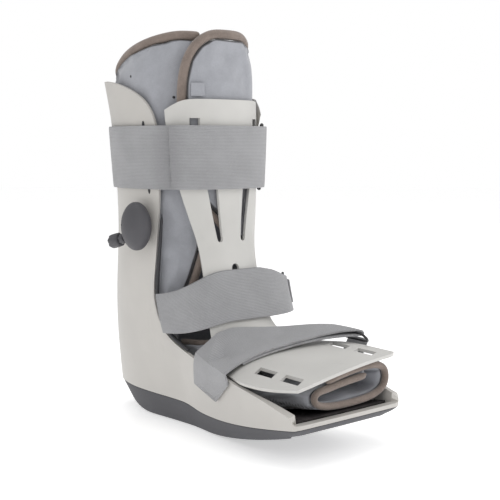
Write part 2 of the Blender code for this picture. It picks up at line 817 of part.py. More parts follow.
def ankle_anchor():
    rise = fold_height() / 2 + RING_WIRE + 2 * LAYER_GAP + STRAP_THICKNESS
    half = ANKLE_STRAP_WIDTH / 2 * (1 - ANKLE_TAPER) - RING_WIRE

    def head(across):
        return ankle_point(ANKLE_STRAP_FOLD - RING_SPAN + ANCHOR_LAP, across * half, rise)

    def foot(across):
        z = up(ANKLE_STRAP_HEIGHT) + across * half
        return strap_point(ANKLE_ANCHOR_ANGLE, z, STRAP_THICKNESS - LAYER_GAP)

    return anchor("ankle_anchor", head, foot, Vector((2 * ANCHOR_BULGE, 0, 0)))


def forefoot_anchor():
    rise = 2 * LAYER_GAP + fold_height() / 2 - FOREFOOT_RING_DROP
    outside = Vector((RING_WIRE + 2 * LAYER_GAP + STRAP_THICKNESS, 0, RING_WIRE))

    def head(across):
        return forefoot_point(FOREFOOT_RING_END, 0.5 + ANCHOR_HEAD / 2 * across, rise) + outside

    def foot(across):
        y = along(FOREFOOT_ANCHOR_PLACE) - across * FOREFOOT_STRAP_WIDTH * ANCHOR_FOOT / 2
        wall = shell_point(place_of(y), up(FOREFOOT_ANCHOR_HEIGHT))
        return Vector((-wall.x + LAYER_GAP + STRAP_THICKNESS, y, wall.z))

    return anchor("forefoot_anchor", head, foot, Vector((ANCHOR_BULGE, 0, 0)))


def wrap_edge(z, column):
    return monotone(WRAP_EDGES, column, z / BOOT_HEIGHT)


def wrap_top(angle):
    """The height of the leg wrap's top edge, below the binding that rounds it off."""
    return up(monotone(WRAP_TOP, 1, angle)) - 2 * BINDING_RADIUS - 2 * GAP


def wrap_foot(y=0.0):
    """The height on which the leg wrap stands, on the insole."""
    return floor_top(y) + INSOLE_THICKNESS + 2 * LAYER_GAP


def wrap_grid(i, j, out=0.0):
    """The leg wrap's outer face at a column from its inner edge to its flap, and a row from floor to top."""
    u = i / (WRAP_COLUMNS - 1)
    z = wrap_foot()
    for _ in range(3):
        angle = mix(wrap_edge(z, 1), wrap_edge(z, 2), u)
        foot = wrap_foot(wrap_point(angle, wrap_foot()).y)
        z = mix(foot, wrap_top(angle), WRAP_STEPS[j])
    return wrap_point(mix(wrap_edge(z, 1), wrap_edge(z, 2), u), z, out)


def liner_leg():
    obj = grid(wrap_grid, WRAP_COLUMNS, len(WRAP_STEPS))
    thickened(obj, LINER_THICKNESS, WRAP_SIDE)
    return finish(obj, "liner_leg", LINER_GREY, 0.95)


def wall_at(y):
    """The shell's wall, which is thicker round the toes."""
    return mix(SHELL_WALL, TOE_RIM, smoothstep(*RIM_START, share_along(y)))


def foot_section(share):
    """The foot wrap's section: its middle's x and z, half-width and half-height."""
    y = along(share)
    floor = wrap_foot(y)
    ceiling = min(plate_height(y) - PLATE_WALL - 2 * LAYER_GAP, up(INSTEP_TOP))
    inside = -shell_point(place_of(y), floor).x - wall_at(y) - 2 * LAYER_GAP
    near = inside * (1 - monotone(FOOT_ROWS, 3, share))
    far = inside * (1 + monotone(FOOT_ROWS, 4, share))
    return (far - near) / 2, (floor + ceiling) / 2, (far + near) / 2, (ceiling - floor) / 2


def place_of(y):
    """The outline place of a point beside the foot."""
    toe = along(1.0) + TOE_ROUND
    return 1 + (y - toe) / (0.0 - toe)


def plate_height(y):
    """The plate's middle height above a point of the foot, or the shell's edge where it has none."""
    rows = [(row[0], row[1]) for row in PLATE_ROWS]
    return monotone(rows, 1, -y / SOLE_LENGTH) * BOOT_HEIGHT


def foot_point(angle, share, out=0.0):
    middle, high, half_width, half_height = foot_section(share)
    turn = math.radians(angle)
    lapped = smoothstep(*FOOT_LAP_START, share)
    lift = out - (FOOT_PAD + LAYER_GAP) * lapped * (1 - smoothstep(*FOOT_LAP_ANGLES, angle))
    x, z = corner(turn, half_width + lift, half_height + lift, FRONT_SQUARE)
    x = middle + math.copysign(x, -math.sin(turn))
    z = math.copysign(z, math.cos(turn))
    tilt = math.tan(PLATE_ROLL * plate_row(plate_share(along(share)))[5])
    return Vector((x, along(share), high + z + x * tilt * (z + half_height) / (2 * half_height)))


def foot_grid(i, j, out=0.0):
    """The foot wrap's outer face at a column round it and a ring from the heel's side to the toes."""
    share = mix(FOOT_ROWS[0][0], FOOT_ROWS[-1][0], j / (FOOT_RINGS - 1))
    start, end = monotone(FOOT_ROWS, 1, share), monotone(FOOT_ROWS, 2, share)
    return foot_point(mix(start, end, i / (FOOT_COLUMNS - 1)), share, out)


def liner_foot():
    obj = grid(foot_grid, FOOT_COLUMNS, FOOT_RINGS)
    thickened(obj, FOOT_PAD, FOOT_SIDE)
    return finish(obj, "liner_foot", LINER_GREY, 0.95)


def fold_height():
    """How far apart the outer faces of a strap's two layers lie where they fold round a ring's bar."""
    return 2 * (RING_WIRE + GAP + STRAP_THICKNESS)


def strap_route(start, fold, end):
    """A strap's route: an inner layer, a fold round its ring's bar and an outer layer back to its end.

    Each step is an angle in degrees and how far the strap's face has risen.
    """
    depth = math.degrees(fold_height() / 2 / (CALF_WIDTH / 2)) * FOLD_EASE
    route = [(angle, 0.0) for angle in range(start, fold, -STRAP_STEP)]
    for i in range(FOLD_STEPS + 1):
        bend = math.pi * i / FOLD_STEPS
        route.append((fold - depth * math.sin(bend), fold_height() * (1 - math.cos(bend)) / 2))
    for angle in range(fold + STRAP_STEP, end + 1, STRAP_STEP):
        settled = smoothstep(fold + STRAP_STEP, fold + SETTLE_STEPS * STRAP_STEP, angle)
        route.append((angle, mix(fold_height(), 2 * STRAP_THICKNESS + LAYER_GAP, settled)))
    return route


def strap(name, surface, width, route):
    """A flat strap along its route. surface takes an angle, a place across the strap and a rise."""
    def place(i, j):
        angle, out = route[i]
        return surface(angle, (j / 2 - 0.5) * width, out)

    obj = grid(place, len(route), 3)
    thickened(obj, STRAP_THICKNESS, STRAP_SIDE)
    return finish(obj, name, STRAP_GREY, 0.95)


def calf_point(angle, across, out):
    return strap_point(angle, up(CALF_STRAP_HEIGHT) + across, out)


def ankle_point(angle, across, out):
    """A face of the ankle strap, which leaves the plate's far edge and reaches straight for its ring."""
    taper = ANKLE_TAPER * smoothstep(-ANKLE_FRONT, ANKLE_STRAP_FOLD, angle)
    near_taper = ANKLE_NEAR_TAPER * smoothstep(ANKLE_FRONT, ANKLE_DROP_END, angle)
    drop = ANKLE_STRAP_DROP * smoothstep(ANKLE_FRONT, ANKLE_DROP_END, angle)
    z = up(ANKLE_STRAP_HEIGHT - drop) + across * (1 - taper - near_taper)
    z -= taper * ANKLE_STRAP_WIDTH / 2
    out += mix(-LAYER_GAP, ANKLE_LIFT, smoothstep(ANKLE_FRONT, ANKLE_SIDE, abs(angle)))
    if angle >= 0:
        return strap_point(angle, z, out)
    lift = 2 * LAYER_GAP + out
    x, y = corner(math.radians(-angle), ANKLE_REACH + lift, front_depth(z) + lift, ANKLE_SQUARE)
    return Vector((x, -y, z))


def calf_strap():
    """Round the back and the front, through its ring and folded back over the front."""
    route = strap_route(CALF_STRAP_START, CALF_STRAP_FOLD, CALF_STRAP_END)
    return strap("calf_strap", calf_point, CALF_STRAP_WIDTH, route)


def ankle_strap():
    """From the pump's side over the front, through its ring and folded back to the pump's side."""
    route = strap_route(ANKLE_STRAP_START, ANKLE_STRAP_FOLD, ANKLE_STRAP_END)
    return strap("ankle_strap", ankle_point, ANKLE_STRAP_WIDTH, route)


def strap_ring(name, surface, fold, width):
    """A wire ring: one bar in the strap's fold, and one farther round that the far side holds."""
    rise = fold_height() / 2
    half = width / 2 + RING_WIRE + 2 * LAYER_GAP
    middle, last = fold - RING_SPAN / 2, fold - RING_SPAN
    corners = ((fold, -1), (fold, 0), (fold, 1), (middle, 1), (last, 1), (last, 0), (last, -1), (middle, -1))
    points = [surface(angle, side * half, rise) for angle, side in corners]
    return tube(name, points, RING_WIRE, RING_BLACK, 0.35, cyclic=True)


def plate_share(y):
    """How far along the plate, from top to toe, a point of the foot lies."""
    last = len(PLATE_ROWS) - 1
    rows = [(row[0], i / last) for i, row in enumerate(PLATE_ROWS)]
    return monotone(rows, 1, -y / SOLE_LENGTH)


def forefoot_share(u, w):
    """How far down the plate the strap runs, over the plate's place u: w is 0 at its upper edge, 1 below."""
    upper, lower = [middle + slope * u + curve * u * u for middle, slope, curve in FOREFOOT_EDGES]
    return mix(upper, lower, w)


def forefoot_point(u, w, lift):
    """A face of the forefoot strap over the plate, which it leaves towards its ring on the far side."""
    slack = mix(*FOREFOOT_SLACK, w) * smoothstep(FOREFOOT_SLACK_START, 1.0, u)
    return plate_point(u, forefoot_share(u, w), lift + slack)


def forefoot_route():
    """Steps over the plate: an inner layer, a fold round the ring's bar and an outer layer back."""
    steps = FOREFOOT_STEPS
    route = [(mix(FOREFOOT_START, 1.0, i / steps), 2 * LAYER_GAP) for i in range(steps)]
    for i in range(FOLD_STEPS + 1):
        bend = math.pi * i / FOLD_STEPS
        out = 1.0 + FOREFOOT_FOLD * math.sin(bend)
        route.append((out, 2 * LAYER_GAP + fold_height() * (1 - math.cos(bend)) / 2))
    for i in range(1, steps + 1):
        u = mix(1.0, FOREFOOT_END, i / steps)
        settled = 1 - smoothstep(*FOREFOOT_SETTLE, u)
        route.append((u, 2 * LAYER_GAP + mix(fold_height(), 2 * STRAP_THICKNESS + LAYER_GAP, settled)))
    return route


def forefoot_tail(t, w):
    """A face of the strap's end, from over the shell's edge (t = 0) down the shell's side (t = 1)."""
    from_y, from_z, to_y, to_z = FOREFOOT_TAIL[round(2 * w)]
    y = along(mix(from_y, to_y, t))
    z = up(mix(from_z, to_z, t))
    return Vector((shell_point(place_of(y), z).x - 2 * LAYER_GAP - STRAP_THICKNESS, y, z))


def forefoot_strap():
    """Over the instep: an inner layer, a fold round its ring's bar and an outer layer to the shell."""
    route = forefoot_route()
    drops = FOREFOOT_DROPS

    def place(i, j):
        w = j / 2
        if i < len(route):
            u, lift = route[i]
            return forefoot_point(u, w, lift)
        return forefoot_tail((i - len(route)) / (drops - 1), w)

    obj = grid(place, len(route) + drops, 3)
    thickened(obj, STRAP_THICKNESS, FOREFOOT_SIDE)
    return finish(obj, "forefoot_strap", STRAP_GREY, 0.95)


def forefoot_ring():
    rise = 2 * LAYER_GAP + fold_height() / 2
    past = 1 + FOREFOOT_RING_SIDE
    points = [forefoot_point(1.0, w, rise) for w in (-FOREFOOT_RING_SIDE, 0.0, 0.5, 1.0, past)]
    low = rise - FOREFOOT_RING_DROP
    points += [forefoot_point(FOREFOOT_RING_END, w, low) for w in (past, 0.5, -FOREFOOT_RING_SIDE)]
    return tube("forefoot_ring", points, RING_WIRE, RING_BLACK, 0.35, cyclic=True)


def rim_path(points, inner, reach):
    """A path just past a surface's edge: each point moves off its inner neighbour, square to the edge."""
    path = []
    for i, point in enumerate(points):
        tangent = points[min(i + 1, len(points) - 1)] - points[max(i - 1, 0)]
        away = point - inner[i]
        away = away - tangent * (away.dot(tangent) / tangent.dot(tangent))
        path.append(point + away.normalized() * reach)
    return path


def binding(name, points, inner, radius=BINDING_RADIUS, colour=TAUPE, room=2 * GAP):
    path = rim_path(points, inner, radius + room)
    return tube(name, path, radius, colour, 0.8, sides=1)


def wrap_bindings():
    """The bindings that round off the leg wrap's top and its two free edges."""
    def cell(i, j):
        return wrap_grid(i, j, -LINER_THICKNESS / 2)

    last, top = WRAP_COLUMNS - 1, len(WRAP_STEPS) - 1
    down = range(top, FLAP_FOOT_ROW, -1)
    collar = [(i, top) for i in range(2, last)] + [(last, j) for j in down]
    inner = [(i, top - 1) for i in range(2, last)] + [(last - 1, min(j, top - 1)) for j in down]
    binding("binding_collar", [cell(*at) for at in collar], [cell(*at) for at in inner], room=BINDING_ROOM)
    arches = (
        ("binding_ankle_far", last, last - 1, FLAP_FOOT_ROW),
        ("binding_ankle_near", 0, 1, FLAP_FOOT_ROW - 1),
    )
    for name, column, next_to, head in arches:
        rows = range(head, ARCH_FOOT_ROW, -1)
        binding(name, [cell(column, j) for j in rows], [cell(next_to, j) for j in rows], room=BINDING_ROOM)


def foot_bindings():
    """The bindings that round off the foot wrap's toe end and its two edges at the instep."""
    def cell(i, j):
        return foot_grid(i, j, -FOOT_PAD / 2)

    radius = FOOT_PAD / 2 - GAP
    last, toe = FOOT_COLUMNS - 1, FOOT_RINGS - 1
    columns = range(FOOT_COLUMNS)
    binding("binding_toe", [cell(i, toe) for i in columns], [cell(i, toe - 1) for i in columns], radius)
    for name, column, next_to in (("binding_instep_near", 0, 1), ("binding_instep_far", last, last - 1)):
        rings = range(INSTEP_RINGS)
        binding(name, [cell(column, j) for j in rings], [cell(next_to, j) for j in rings], radius)


def shell_trims():
    """The dark trims along the shell's front edges at the ankle."""
    low, high = TRIM_HEIGHTS
    ribs = [i for i, rib in enumerate(SHELL_RIBS) if low < rib[2] < high]
    for name, side in (("shell_trim_near", 1), ("shell_trim_far", -1)):
        ring = [shell_rib_point(i, 0) for i in ribs]
        rim = [Vector((side * (p.x + SHELL_WALL / 2), p.y, p.z)) for p in ring]
        inner = [p + Vector((0, SHELL_WALL, -SHELL_WALL)) for p in rim]
        binding(name, rim, inner, TRIM_RADIUS, TRIM_BLACK)


def liner_tab():
    """The small tab that shows on the flap above the plate."""
    columns, rows = 5, 4

    def place(i, j):
        angle = mix(*TAB_ANGLES, i / (columns - 1))
        high = up(TAB_HEIGHT) + TAB_LENGTH * j / (rows - 1)
        return wrap_point(angle, high, LAYER_GAP + STRAP_THICKNESS)

    obj = grid(place, columns, rows)
    thickened(obj, STRAP_THICKNESS, TAB_SIDE)
    return finish(obj, "liner_tab", LINER_GREY, 0.95)


def ball(name, middle, radii, colour, roughness, segments=14, rings=8):
    bpy.ops.mesh.primitive_uv_sphere_add(segments=segments, ring_count=rings, radius=1)
    obj = bpy.context.active_object
    for vertex in obj.data.vertices:
        vertex.co = Vector(middle) + Vector(v * r for v, r in zip(vertex.co, radii))
    return finish(obj, name, colour, roughness)


def drum(name, middle, axis, radius, length, colour, roughness, sides=14):
    """A short round piece along an axis."""
    bpy.ops.mesh.primitive_cylinder_add(vertices=sides, radius=radius, depth=length)
    obj = bpy.context.active_object
    turn = Vector(axis).normalized().to_track_quat("Z", "Y")
    for vertex in obj.data.vertices:
        vertex.co = turn @ vertex.co + Vector(middle)
    return finish(obj, name, colour, roughness)


def pump():
    """The bulb on the shell's near side, and its valve behind it."""
    seat = shell_point(PUMP_PLACE, up(PUMP_HEIGHT))
    depth = BULB_DEPTH / 2
    bulb = seat + Vector((-depth - GAP, 0, 0))
    radii = (depth, BULB_WIDTH / 2, BULB_LENGTH / 2)
    ball("pump_bulb", bulb, radii, PUMP_GREY, 0.55)
    axis = Vector(VALVE_AXIS).normalized()
    low = math.radians(VALVE_BELOW)
    start = bulb + Vector((0, BULB_WIDTH / 2 * math.cos(low), -BULB_LENGTH / 2 * math.sin(low)))
    collar = start + axis * (COLLAR_LENGTH / 2 + 2 * LAYER_GAP)
    drum("pump_collar", collar, axis, COLLAR_WIDTH / 2, COLLAR_LENGTH, RING_BLACK, 0.6)
    valve = collar + axis * (COLLAR_LENGTH / 2 + GAP + VALVE_LENGTH / 2)
    drum("pump_valve", valve, axis, VALVE_WIDTH / 2, VALVE_LENGTH, PUMP_GREY, 0.5)


def strap_point(angle, z, out=0.0):
    """A strap's inner face round the shell and the plate."""
    turn = math.radians(angle)
    lift = 2 * LAYER_GAP + out
    half_width = liner_half_width(z) + LAYER_GAP + SHELL_WALL + lift
    if math.cos(turn) >= 0:
        depth = front_depth(z) + lift
        x, y = corner(turn, half_width, depth, FRONT_SQUARE)
        y = -y
    else:
        depth = liner_back(z) + LAYER_GAP + SHELL_WALL + lift
        x, y = corner(turn, half_width, depth, shell_square(z))
    return Vector((math.copysign(x, -math.sin(turn)), y, z))


def build():
    outsole()
    shell()
    insole()
    shin_plate()
    liner_leg()
    liner_foot()
    liner_tab()
    wrap_bindings()
    foot_bindings()
    shell_trims()
    calf_strap()
    ankle_strap()
    forefoot_strap()
    strap_ring("calf_ring", calf_point, CALF_STRAP_FOLD, CALF_STRAP_WIDTH)
    strap_ring("ankle_ring", ankle_point, ANKLE_STRAP_FOLD, ANKLE_STRAP_WIDTH)
    forefoot_ring()
    ankle_anchor()
    forefoot_anchor()
    pump()


for old in list(bpy.data.objects):
    bpy.data.objects.remove(old, do_unlink=True)
PARTS = bpy.data.collections.new("medical_walking_boot")
CUTTERS = bpy.data.collections.new("cutters")
bpy.context.scene.collection.children.link(PARTS)
bpy.context.scene.collection.children.link(CUTTERS)
build()
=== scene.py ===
"""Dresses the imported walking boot.

Moulded shell and front plate, padded liner, woven straps, rubber sole and air pump.
"""

import json
import math

import bpy
import numpy as np
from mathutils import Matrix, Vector
from mathutils.bvhtree import BVHTree

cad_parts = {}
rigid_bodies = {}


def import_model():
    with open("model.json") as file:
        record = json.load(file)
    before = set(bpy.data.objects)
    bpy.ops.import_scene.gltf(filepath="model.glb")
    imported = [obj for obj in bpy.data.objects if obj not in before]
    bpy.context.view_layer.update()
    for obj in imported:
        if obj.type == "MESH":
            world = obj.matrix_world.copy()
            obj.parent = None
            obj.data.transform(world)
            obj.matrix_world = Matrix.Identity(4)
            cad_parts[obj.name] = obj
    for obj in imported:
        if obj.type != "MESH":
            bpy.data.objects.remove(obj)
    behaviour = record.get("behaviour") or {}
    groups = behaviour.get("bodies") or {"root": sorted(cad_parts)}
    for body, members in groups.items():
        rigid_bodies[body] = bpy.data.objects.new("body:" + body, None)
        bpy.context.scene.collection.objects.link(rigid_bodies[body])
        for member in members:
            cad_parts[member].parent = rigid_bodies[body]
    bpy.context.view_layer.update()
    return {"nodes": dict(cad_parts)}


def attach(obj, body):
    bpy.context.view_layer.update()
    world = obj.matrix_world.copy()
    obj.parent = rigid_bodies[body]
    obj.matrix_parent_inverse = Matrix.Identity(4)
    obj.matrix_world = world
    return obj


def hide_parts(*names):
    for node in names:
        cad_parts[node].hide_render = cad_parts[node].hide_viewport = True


for leftover in list(bpy.data.objects):
    bpy.data.objects.remove(leftover)
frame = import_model()
NODES = frame["nodes"]

bl_info = {
    "name": "Walking boot dressing",
    "version": (1, 0, 0),
    "blender": (4, 5, 0),
    "location": "View3D > Sidebar > Boot",
    "description": "Adds the visible pieces and finishes of a medical walking boot round its packed solids",
    "category": "Object",
}

TURN = 2 * math.pi

# How a CAD mesh is made ready. Points nearer than this, in metres, are merged. Triangles are joined into
# quads up to these angles, in degrees: the bend between them, and how far the quad's corners are off square.
MERGE = 0.00002
QUAD_BEND, QUAD_SKEW = 30, 60
# Edges that turn by more than these angles, in degrees, are rounded, or stay sharp on the padding. The
# flap's tab is rounded by TAB_EDGE, in metres.
BEVEL_ANGLE = 35
PADDING_CREASE = 28
TAB_EDGE = 0.0004

# The padding. It is held where its gap to a neighbour, in metres, is below a pair's first value, and free
# above the second. It may fill GAP_SHARE of a gap, and gaps are searched up to RIM_SEARCH metres. The cloth
# is simulated for CLOTH_STEPS frames, with its rest size larger by the share CLOTH_STRETCH.
HELD_BY_PARTS = (0.002, 0.007)
HELD_BY_BINDINGS = (0.0015, 0.006)
GAP_SHARE = 0.6
RIM_SEARCH = 0.05
CLOTH_STEPS = 20
CLOTH_STRETCH = 0.04
CLOTH_QUALITY = 4
# The dark line beside a binding is a sunk seam, painted dark as the shade in the crease between the padding
# and the tape. It ends between these distances from the binding, in metres, on the leg's and the foot's wrap.
# Its painted shade covers the cloth's colour by the share that follows the two pairs.
LEG_SEAM_SHADE = (0.0032, 0.0044)
FOOT_SEAM_SHADE = (0.0006, 0.0020)
SEAM_SHADE_SHARE = 0.85
# The foot wrap's open knit: rungs, columns and their wobble per metre, and the values of z and y, in metres,
# between which it fades out upwards and backwards.
RUNGS, COLUMNS, WOBBLE = 300.0, 210.0, 75.0
KNIT_TOP = (0.040, 0.050)
KNIT_BACK = (-0.150, -0.120)
# A face is on the outside below the first value, and faces the hollow above the second. The values are
# cosines of its angle to the way to the hollow's middle. There the leg's cloth is darkened as painted
# shade, and the foot's cloth takes a lighter lining tone.
HOLLOW_FACING = (0.1, 0.6)

# The boot's axes, in metres: the leg's, the middles of the leg's and the foot's hollow, and the one that
# the forefoot strap runs round. The strap's width runs down along FOREFOOT_FALL, by its y and z.
LEG_AXIS_Y = 0.004
LEG_MIDDLE_X, LEG_MIDDLE_Y = 0.0, 0.008
FOOT_MIDDLE_X, FOOT_MIDDLE_Z = 0.008, 0.052
FOREFOOT_AXIS_Z = 0.03
FOREFOOT_FALL = (-0.93, -0.37)

# The weave is mapped in metres: by the radius that an angle counts at, and across the bands' widths, which
# are measured in STRAP_STEPS round them and are at least THINNEST. Threads lie closer than ribs, by
# THREAD_TO_RIB, and the line at a lap is LAP_LINE wide.
STRAP_REACH = 0.068
CALF_WIDTH = 0.058
NARROW_WIDTH = 0.044
STRAP_STEPS = 72
THINNEST = 0.001
THREAD_TO_RIB = 0.62
LAP_LINE = 0.0004

# Angles round the leg, in degrees from its front: the calf strap's shade starts, its lap and the band's end.
CALF_LAP = (-66, -49.5, -36)

# Small dark studs: the snaps, and dark patches of painted shade where the shell's slot ends and the bulb's
# air
# hole open into shadow. Columns: name, piece, angle round the leg in degrees, height, half the width and half
# the height, all but the angle in metres. A stud stands out by STUD_DEPTH, and the line that finds its place
# starts RAY_LENGTH from the leg's axis.
STUDS = (
    ("rear_snap", "leg_wrap", -92.1, 0.3252, 0.0013, 0.0013),
    ("side_snap", "leg_wrap", -47.0, 0.3052, 0.0013, 0.0013),
    ("upper_slot_end", "moulded_shell", -72.4, 0.2795, 0.0019, 0.0044),
    ("lower_slot_end", "moulded_shell", -69.0, 0.2210, 0.0016, 0.0040),
    ("bulb_air_hole", "bulb", -84.0, 0.1885, 0.0012, 0.0012),
)
STUD_DEPTH = 0.0004
RAY_LENGTH = 0.3

# The studio, in metres, but for the camera's sensor in millimetres. Columns of the lights: name, place, what
# it shines at, size and the setting that holds its power.
FLOOR_RADIUS = 6.0
FLOOR_DROP = 0.0004
SENSOR = 36
LIGHTS = (
    ("key_light", (-1.3, -1.1, 1.3), (0, -0.05, 0.15), 1.2, "key"),
    ("fill_light", (1.4, -1.2, 0.9), (0, -0.05, 0.15), 1.4, "fill"),
    ("top_light", (0.1, 0.2, 1.9), (0, -0.05, 0.1), 1.6, "overhead"),
)

# Nodes that the padding must stay clear of.
HARD_NODES = (
    "shell", "shin_plate", "insole", "calf_strap", "ankle_strap", "forefoot_strap",
    "shell_trim_near", "shell_trim_far", "calf_ring", "ankle_ring", "forefoot_ring",
    "ankle_anchor", "forefoot_anchor", "liner_tab",
)
BINDING_NODES = (
    "binding_collar", "binding_ankle_near", "binding_ankle_far", "binding_instep_near",
    "binding_instep_far", "binding_toe",
)


def smoothstep(low, high, x):
    """0 below low, 1 above high, and smooth between."""
    t = min(max((x - low) / (high - low), 0.0), 1.0)
    return t * t * (3 - 2 * t)


# Meshes

def only(piece):
    """Selects this object and nothing else."""
    bpy.ops.object.select_all(action="DESELECT")
    piece.select_set(True)
    bpy.context.view_layer.objects.active = piece


def copied(node, name):
    """A copy of a CAD node's mesh, merged into faces that can be refined."""
    piece = bpy.data.objects.new(name, NODES[node].data.copy())
    bpy.context.scene.collection.objects.link(piece)
    only(piece)
    if piece.data.has_custom_normals:
        bpy.ops.mesh.customdata_custom_splitnormals_clear()
    bpy.ops.object.mode_set(mode="EDIT")
    bpy.ops.mesh.select_all(action="SELECT")
    bpy.ops.mesh.remove_doubles(threshold=MERGE)
    bpy.ops.mesh.tris_convert_to_quads(
        face_threshold=math.radians(QUAD_BEND), shape_threshold=math.radians(QUAD_SKEW))
    bpy.ops.object.mode_set(mode="OBJECT")
    return piece


def modify(piece, kind, **settings):
    """Adds a modifier and applies it."""
    only(piece)
    made = piece.modifiers.new(kind.lower(), kind)
    for key, value in settings.items():
        setattr(made, key, value)
    bpy.ops.object.modifier_apply(modifier=made.name)


def crease(piece, angle):
    """Keeps sharp edges where they are when the faces are subdivided."""
    mesh = piece.data
    facing = {}
    for face in mesh.polygons:
        for key in face.edge_keys:
            facing.setdefault(key, []).append(face.normal.copy())
    limit = math.cos(math.radians(angle))
    sharp = []
    for edge in mesh.edges:
        normals = facing.get(edge.key, [])
        sharp.append(1.0 if len(normals) == 2 and normals[0].dot(normals[1]) < limit else 0.0)
    made = mesh.attributes.new("crease_edge", "FLOAT", "EDGE")
    made.data.foreach_set("value", sharp)


def soften(piece, width, levels):
    """Bevels the sharp edges, subdivides the faces and shades them smooth."""
    if width:
        modify(piece, "BEVEL", width=width, segments=2, limit_method="ANGLE",
               angle_limit=math.radians(BEVEL_ANGLE), use_clamp_overlap=True, miter_outer="MITER_ARC")
    if levels:
        modify(piece, "SUBSURF", levels=levels, render_levels=levels)
    piece.data.shade_smooth()


def tree_of(*meshes):
    """A search tree over the surfaces of meshes."""
    points, faces = [], []
    for mesh in meshes:
        start = len(points)
        points += [v.co.copy() for v in mesh.vertices]
        faces += [[start + i for i in p.vertices] for p in mesh.polygons]
    return BVHTree.FromPolygons(points, faces)


def tree_of_nodes(*nodes):
    return tree_of(*[NODES[node].data for node in nodes])


def gap_to(tree, point):
    """The distance from a point to a tree's surfaces, no more than RIM_SEARCH."""
    found = tree.find_nearest(point, RIM_SEARCH)
    return RIM_SEARCH if found[0] is None else found[3]


def set_attribute(piece, name, values):
    """Gives each point of a piece a value that its material reads."""
    made = piece.data.attributes.new(name, "FLOAT", "POINT")
    made.data.foreach_set("value", np.asarray(values, np.float32))


def dress(piece, node, material):
    """Gives a piece its finish and its body, and hides the CAD node that it stands for, if any."""
    piece.data.materials.clear()
    piece.data.materials.append(material)
    piece.data.name = piece.name
    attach(piece, "root")
    if node:
        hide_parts(node)


# Shader maths

class Value:
    """A node's output, on which Python's operators add Math nodes."""

    def __init__(self, paint, socket):
        self.paint = paint
        self.socket = socket

    def maths(self, operation, *others):
        """This value, and others if the operation takes them, through a Math node."""
        inputs = {0: self}
        inputs.update({i + 1: other for i, other in enumerate(others)})
        return self.paint.node("ShaderNodeMath", {"operation": operation}, inputs)

    def __add__(self, other):
        return self.maths("ADD", other)

    def __radd__(self, other):
        return self.maths("ADD", other)

    def __mul__(self, other):
        return self.maths("MULTIPLY", other)

    def __sub__(self, other):
        return self.maths("SUBTRACT", other)

    def __rsub__(self, other):
        return self.paint.node("ShaderNodeMath", {"operation": "SUBTRACT"}, {0: other, 1: self})

    def sine(self):
        return self.maths("SINE")

    def cosine(self):
        return self.maths("COSINE")

    def ramp(self, low, high):
        """0 below low, 1 above high, and smooth between."""
        ranged = {"interpolation_type": "SMOOTHSTEP", "clamp": True}
        return self.paint.node("ShaderNodeMapRange", ranged,
                               {"Value": self, "From Min": low, "From Max": high})


class Paint:
    """A material being made."""

    def __init__(self, name, roughness, **constants):
        self.material = bpy.data.materials.new(name)
        self.material.use_nodes = True
        self.links = self.material.node_tree.links
        self.shader = self.material.node_tree.nodes["Principled BSDF"]
        self.shader.inputs["Roughness"].default_value = roughness
        for key, value in constants.items():
            self.shader.inputs[key.replace("_", " ")].default_value = value

    def node(self, kind, settings, inputs, output=0):
        """Adds a node: its settings first, then its sockets' values or links."""
        made = self.material.node_tree.nodes.new(kind)
        for key, value in settings.items():
            setattr(made, key, value)
        for key, value in inputs.items():
            if isinstance(value, Value):
                self.links.new(value.socket, made.inputs[key])
            else:
                made.inputs[key].default_value = value
        return Value(self, made.outputs[output])

    def place(self):
        return self.node("ShaderNodeTexCoord", {}, {}, "Object")

    def uv(self, name):
        return self.node("ShaderNodeUVMap", {"uv_map": name}, {})

    def attribute(self, name):
        return self.node("ShaderNodeAttribute", {"attribute_name": name}, {}, "Fac")

    def parts(self, vector):
        """A vector's x, y and z."""
        made = self.node("ShaderNodeSeparateXYZ", {}, {0: vector})
        return [Value(self, made.socket.node.outputs[i]) for i in range(3)]

    def noise(self, vector, per_metre, detail, roughness=0.5):
        return self.node("ShaderNodeTexNoise", {}, {
            "Vector": vector, "Scale": per_metre, "Detail": detail, "Roughness": roughness})

    def cells(self, vector, per_metre):
        return self.node("ShaderNodeTexVoronoi", {"feature": "F1"}, {"Vector": vector, "Scale": per_metre})

    def blend(self, share, first, second):
        """A colour between two others."""
        return self.node("ShaderNodeMix", {"data_type": "RGBA"}, {0: share, 6: first, 7: second}, 2)

    def colour(self, value):
        self.links.new(value.socket, self.shader.inputs["Base Color"])

    def rough(self, value):
        self.links.new(value.socket, self.shader.inputs["Roughness"])

    def bump(self, height, distance, strength):
        made = self.node("ShaderNodeBump", {}, {"Height": height, "Distance": distance, "Strength": strength})
        self.links.new(made.socket, self.shader.inputs["Normal"])


def tone(colour, factor):
    """A colour made lighter or darker, with full alpha."""
    return (*[min(c * factor, 1.0) for c in colour[:3]], 1.0)


def moulded_plastic(name, colour):
    """Satin plastic from a mould: faint clouding, a fine grain, and shine that varies."""
    paint = Paint(name, 0.42, Coat_Weight=0.08, Coat_Roughness=0.3, Specular_IOR_Level=0.45)
    place = paint.place()
    cloud = paint.noise(place, 14.0, 3.0)
    grain = paint.noise(place, 1400.0, 2.0)
    scuff = paint.noise(place, 60.0, 6.0, 0.7).ramp(0.58, 0.75)
    clouded = paint.blend(cloud.ramp(0.3, 0.7), tone(colour, 0.95), tone(colour, 1.04))
    paint.colour(paint.blend(scuff * 0.25, clouded, tone(colour, 0.86)))
    paint.rough(0.36 + cloud * 0.12 + scuff * 0.08)
    paint.bump(grain + cloud * 2.0, 0.00006, 0.5)
    return paint.material


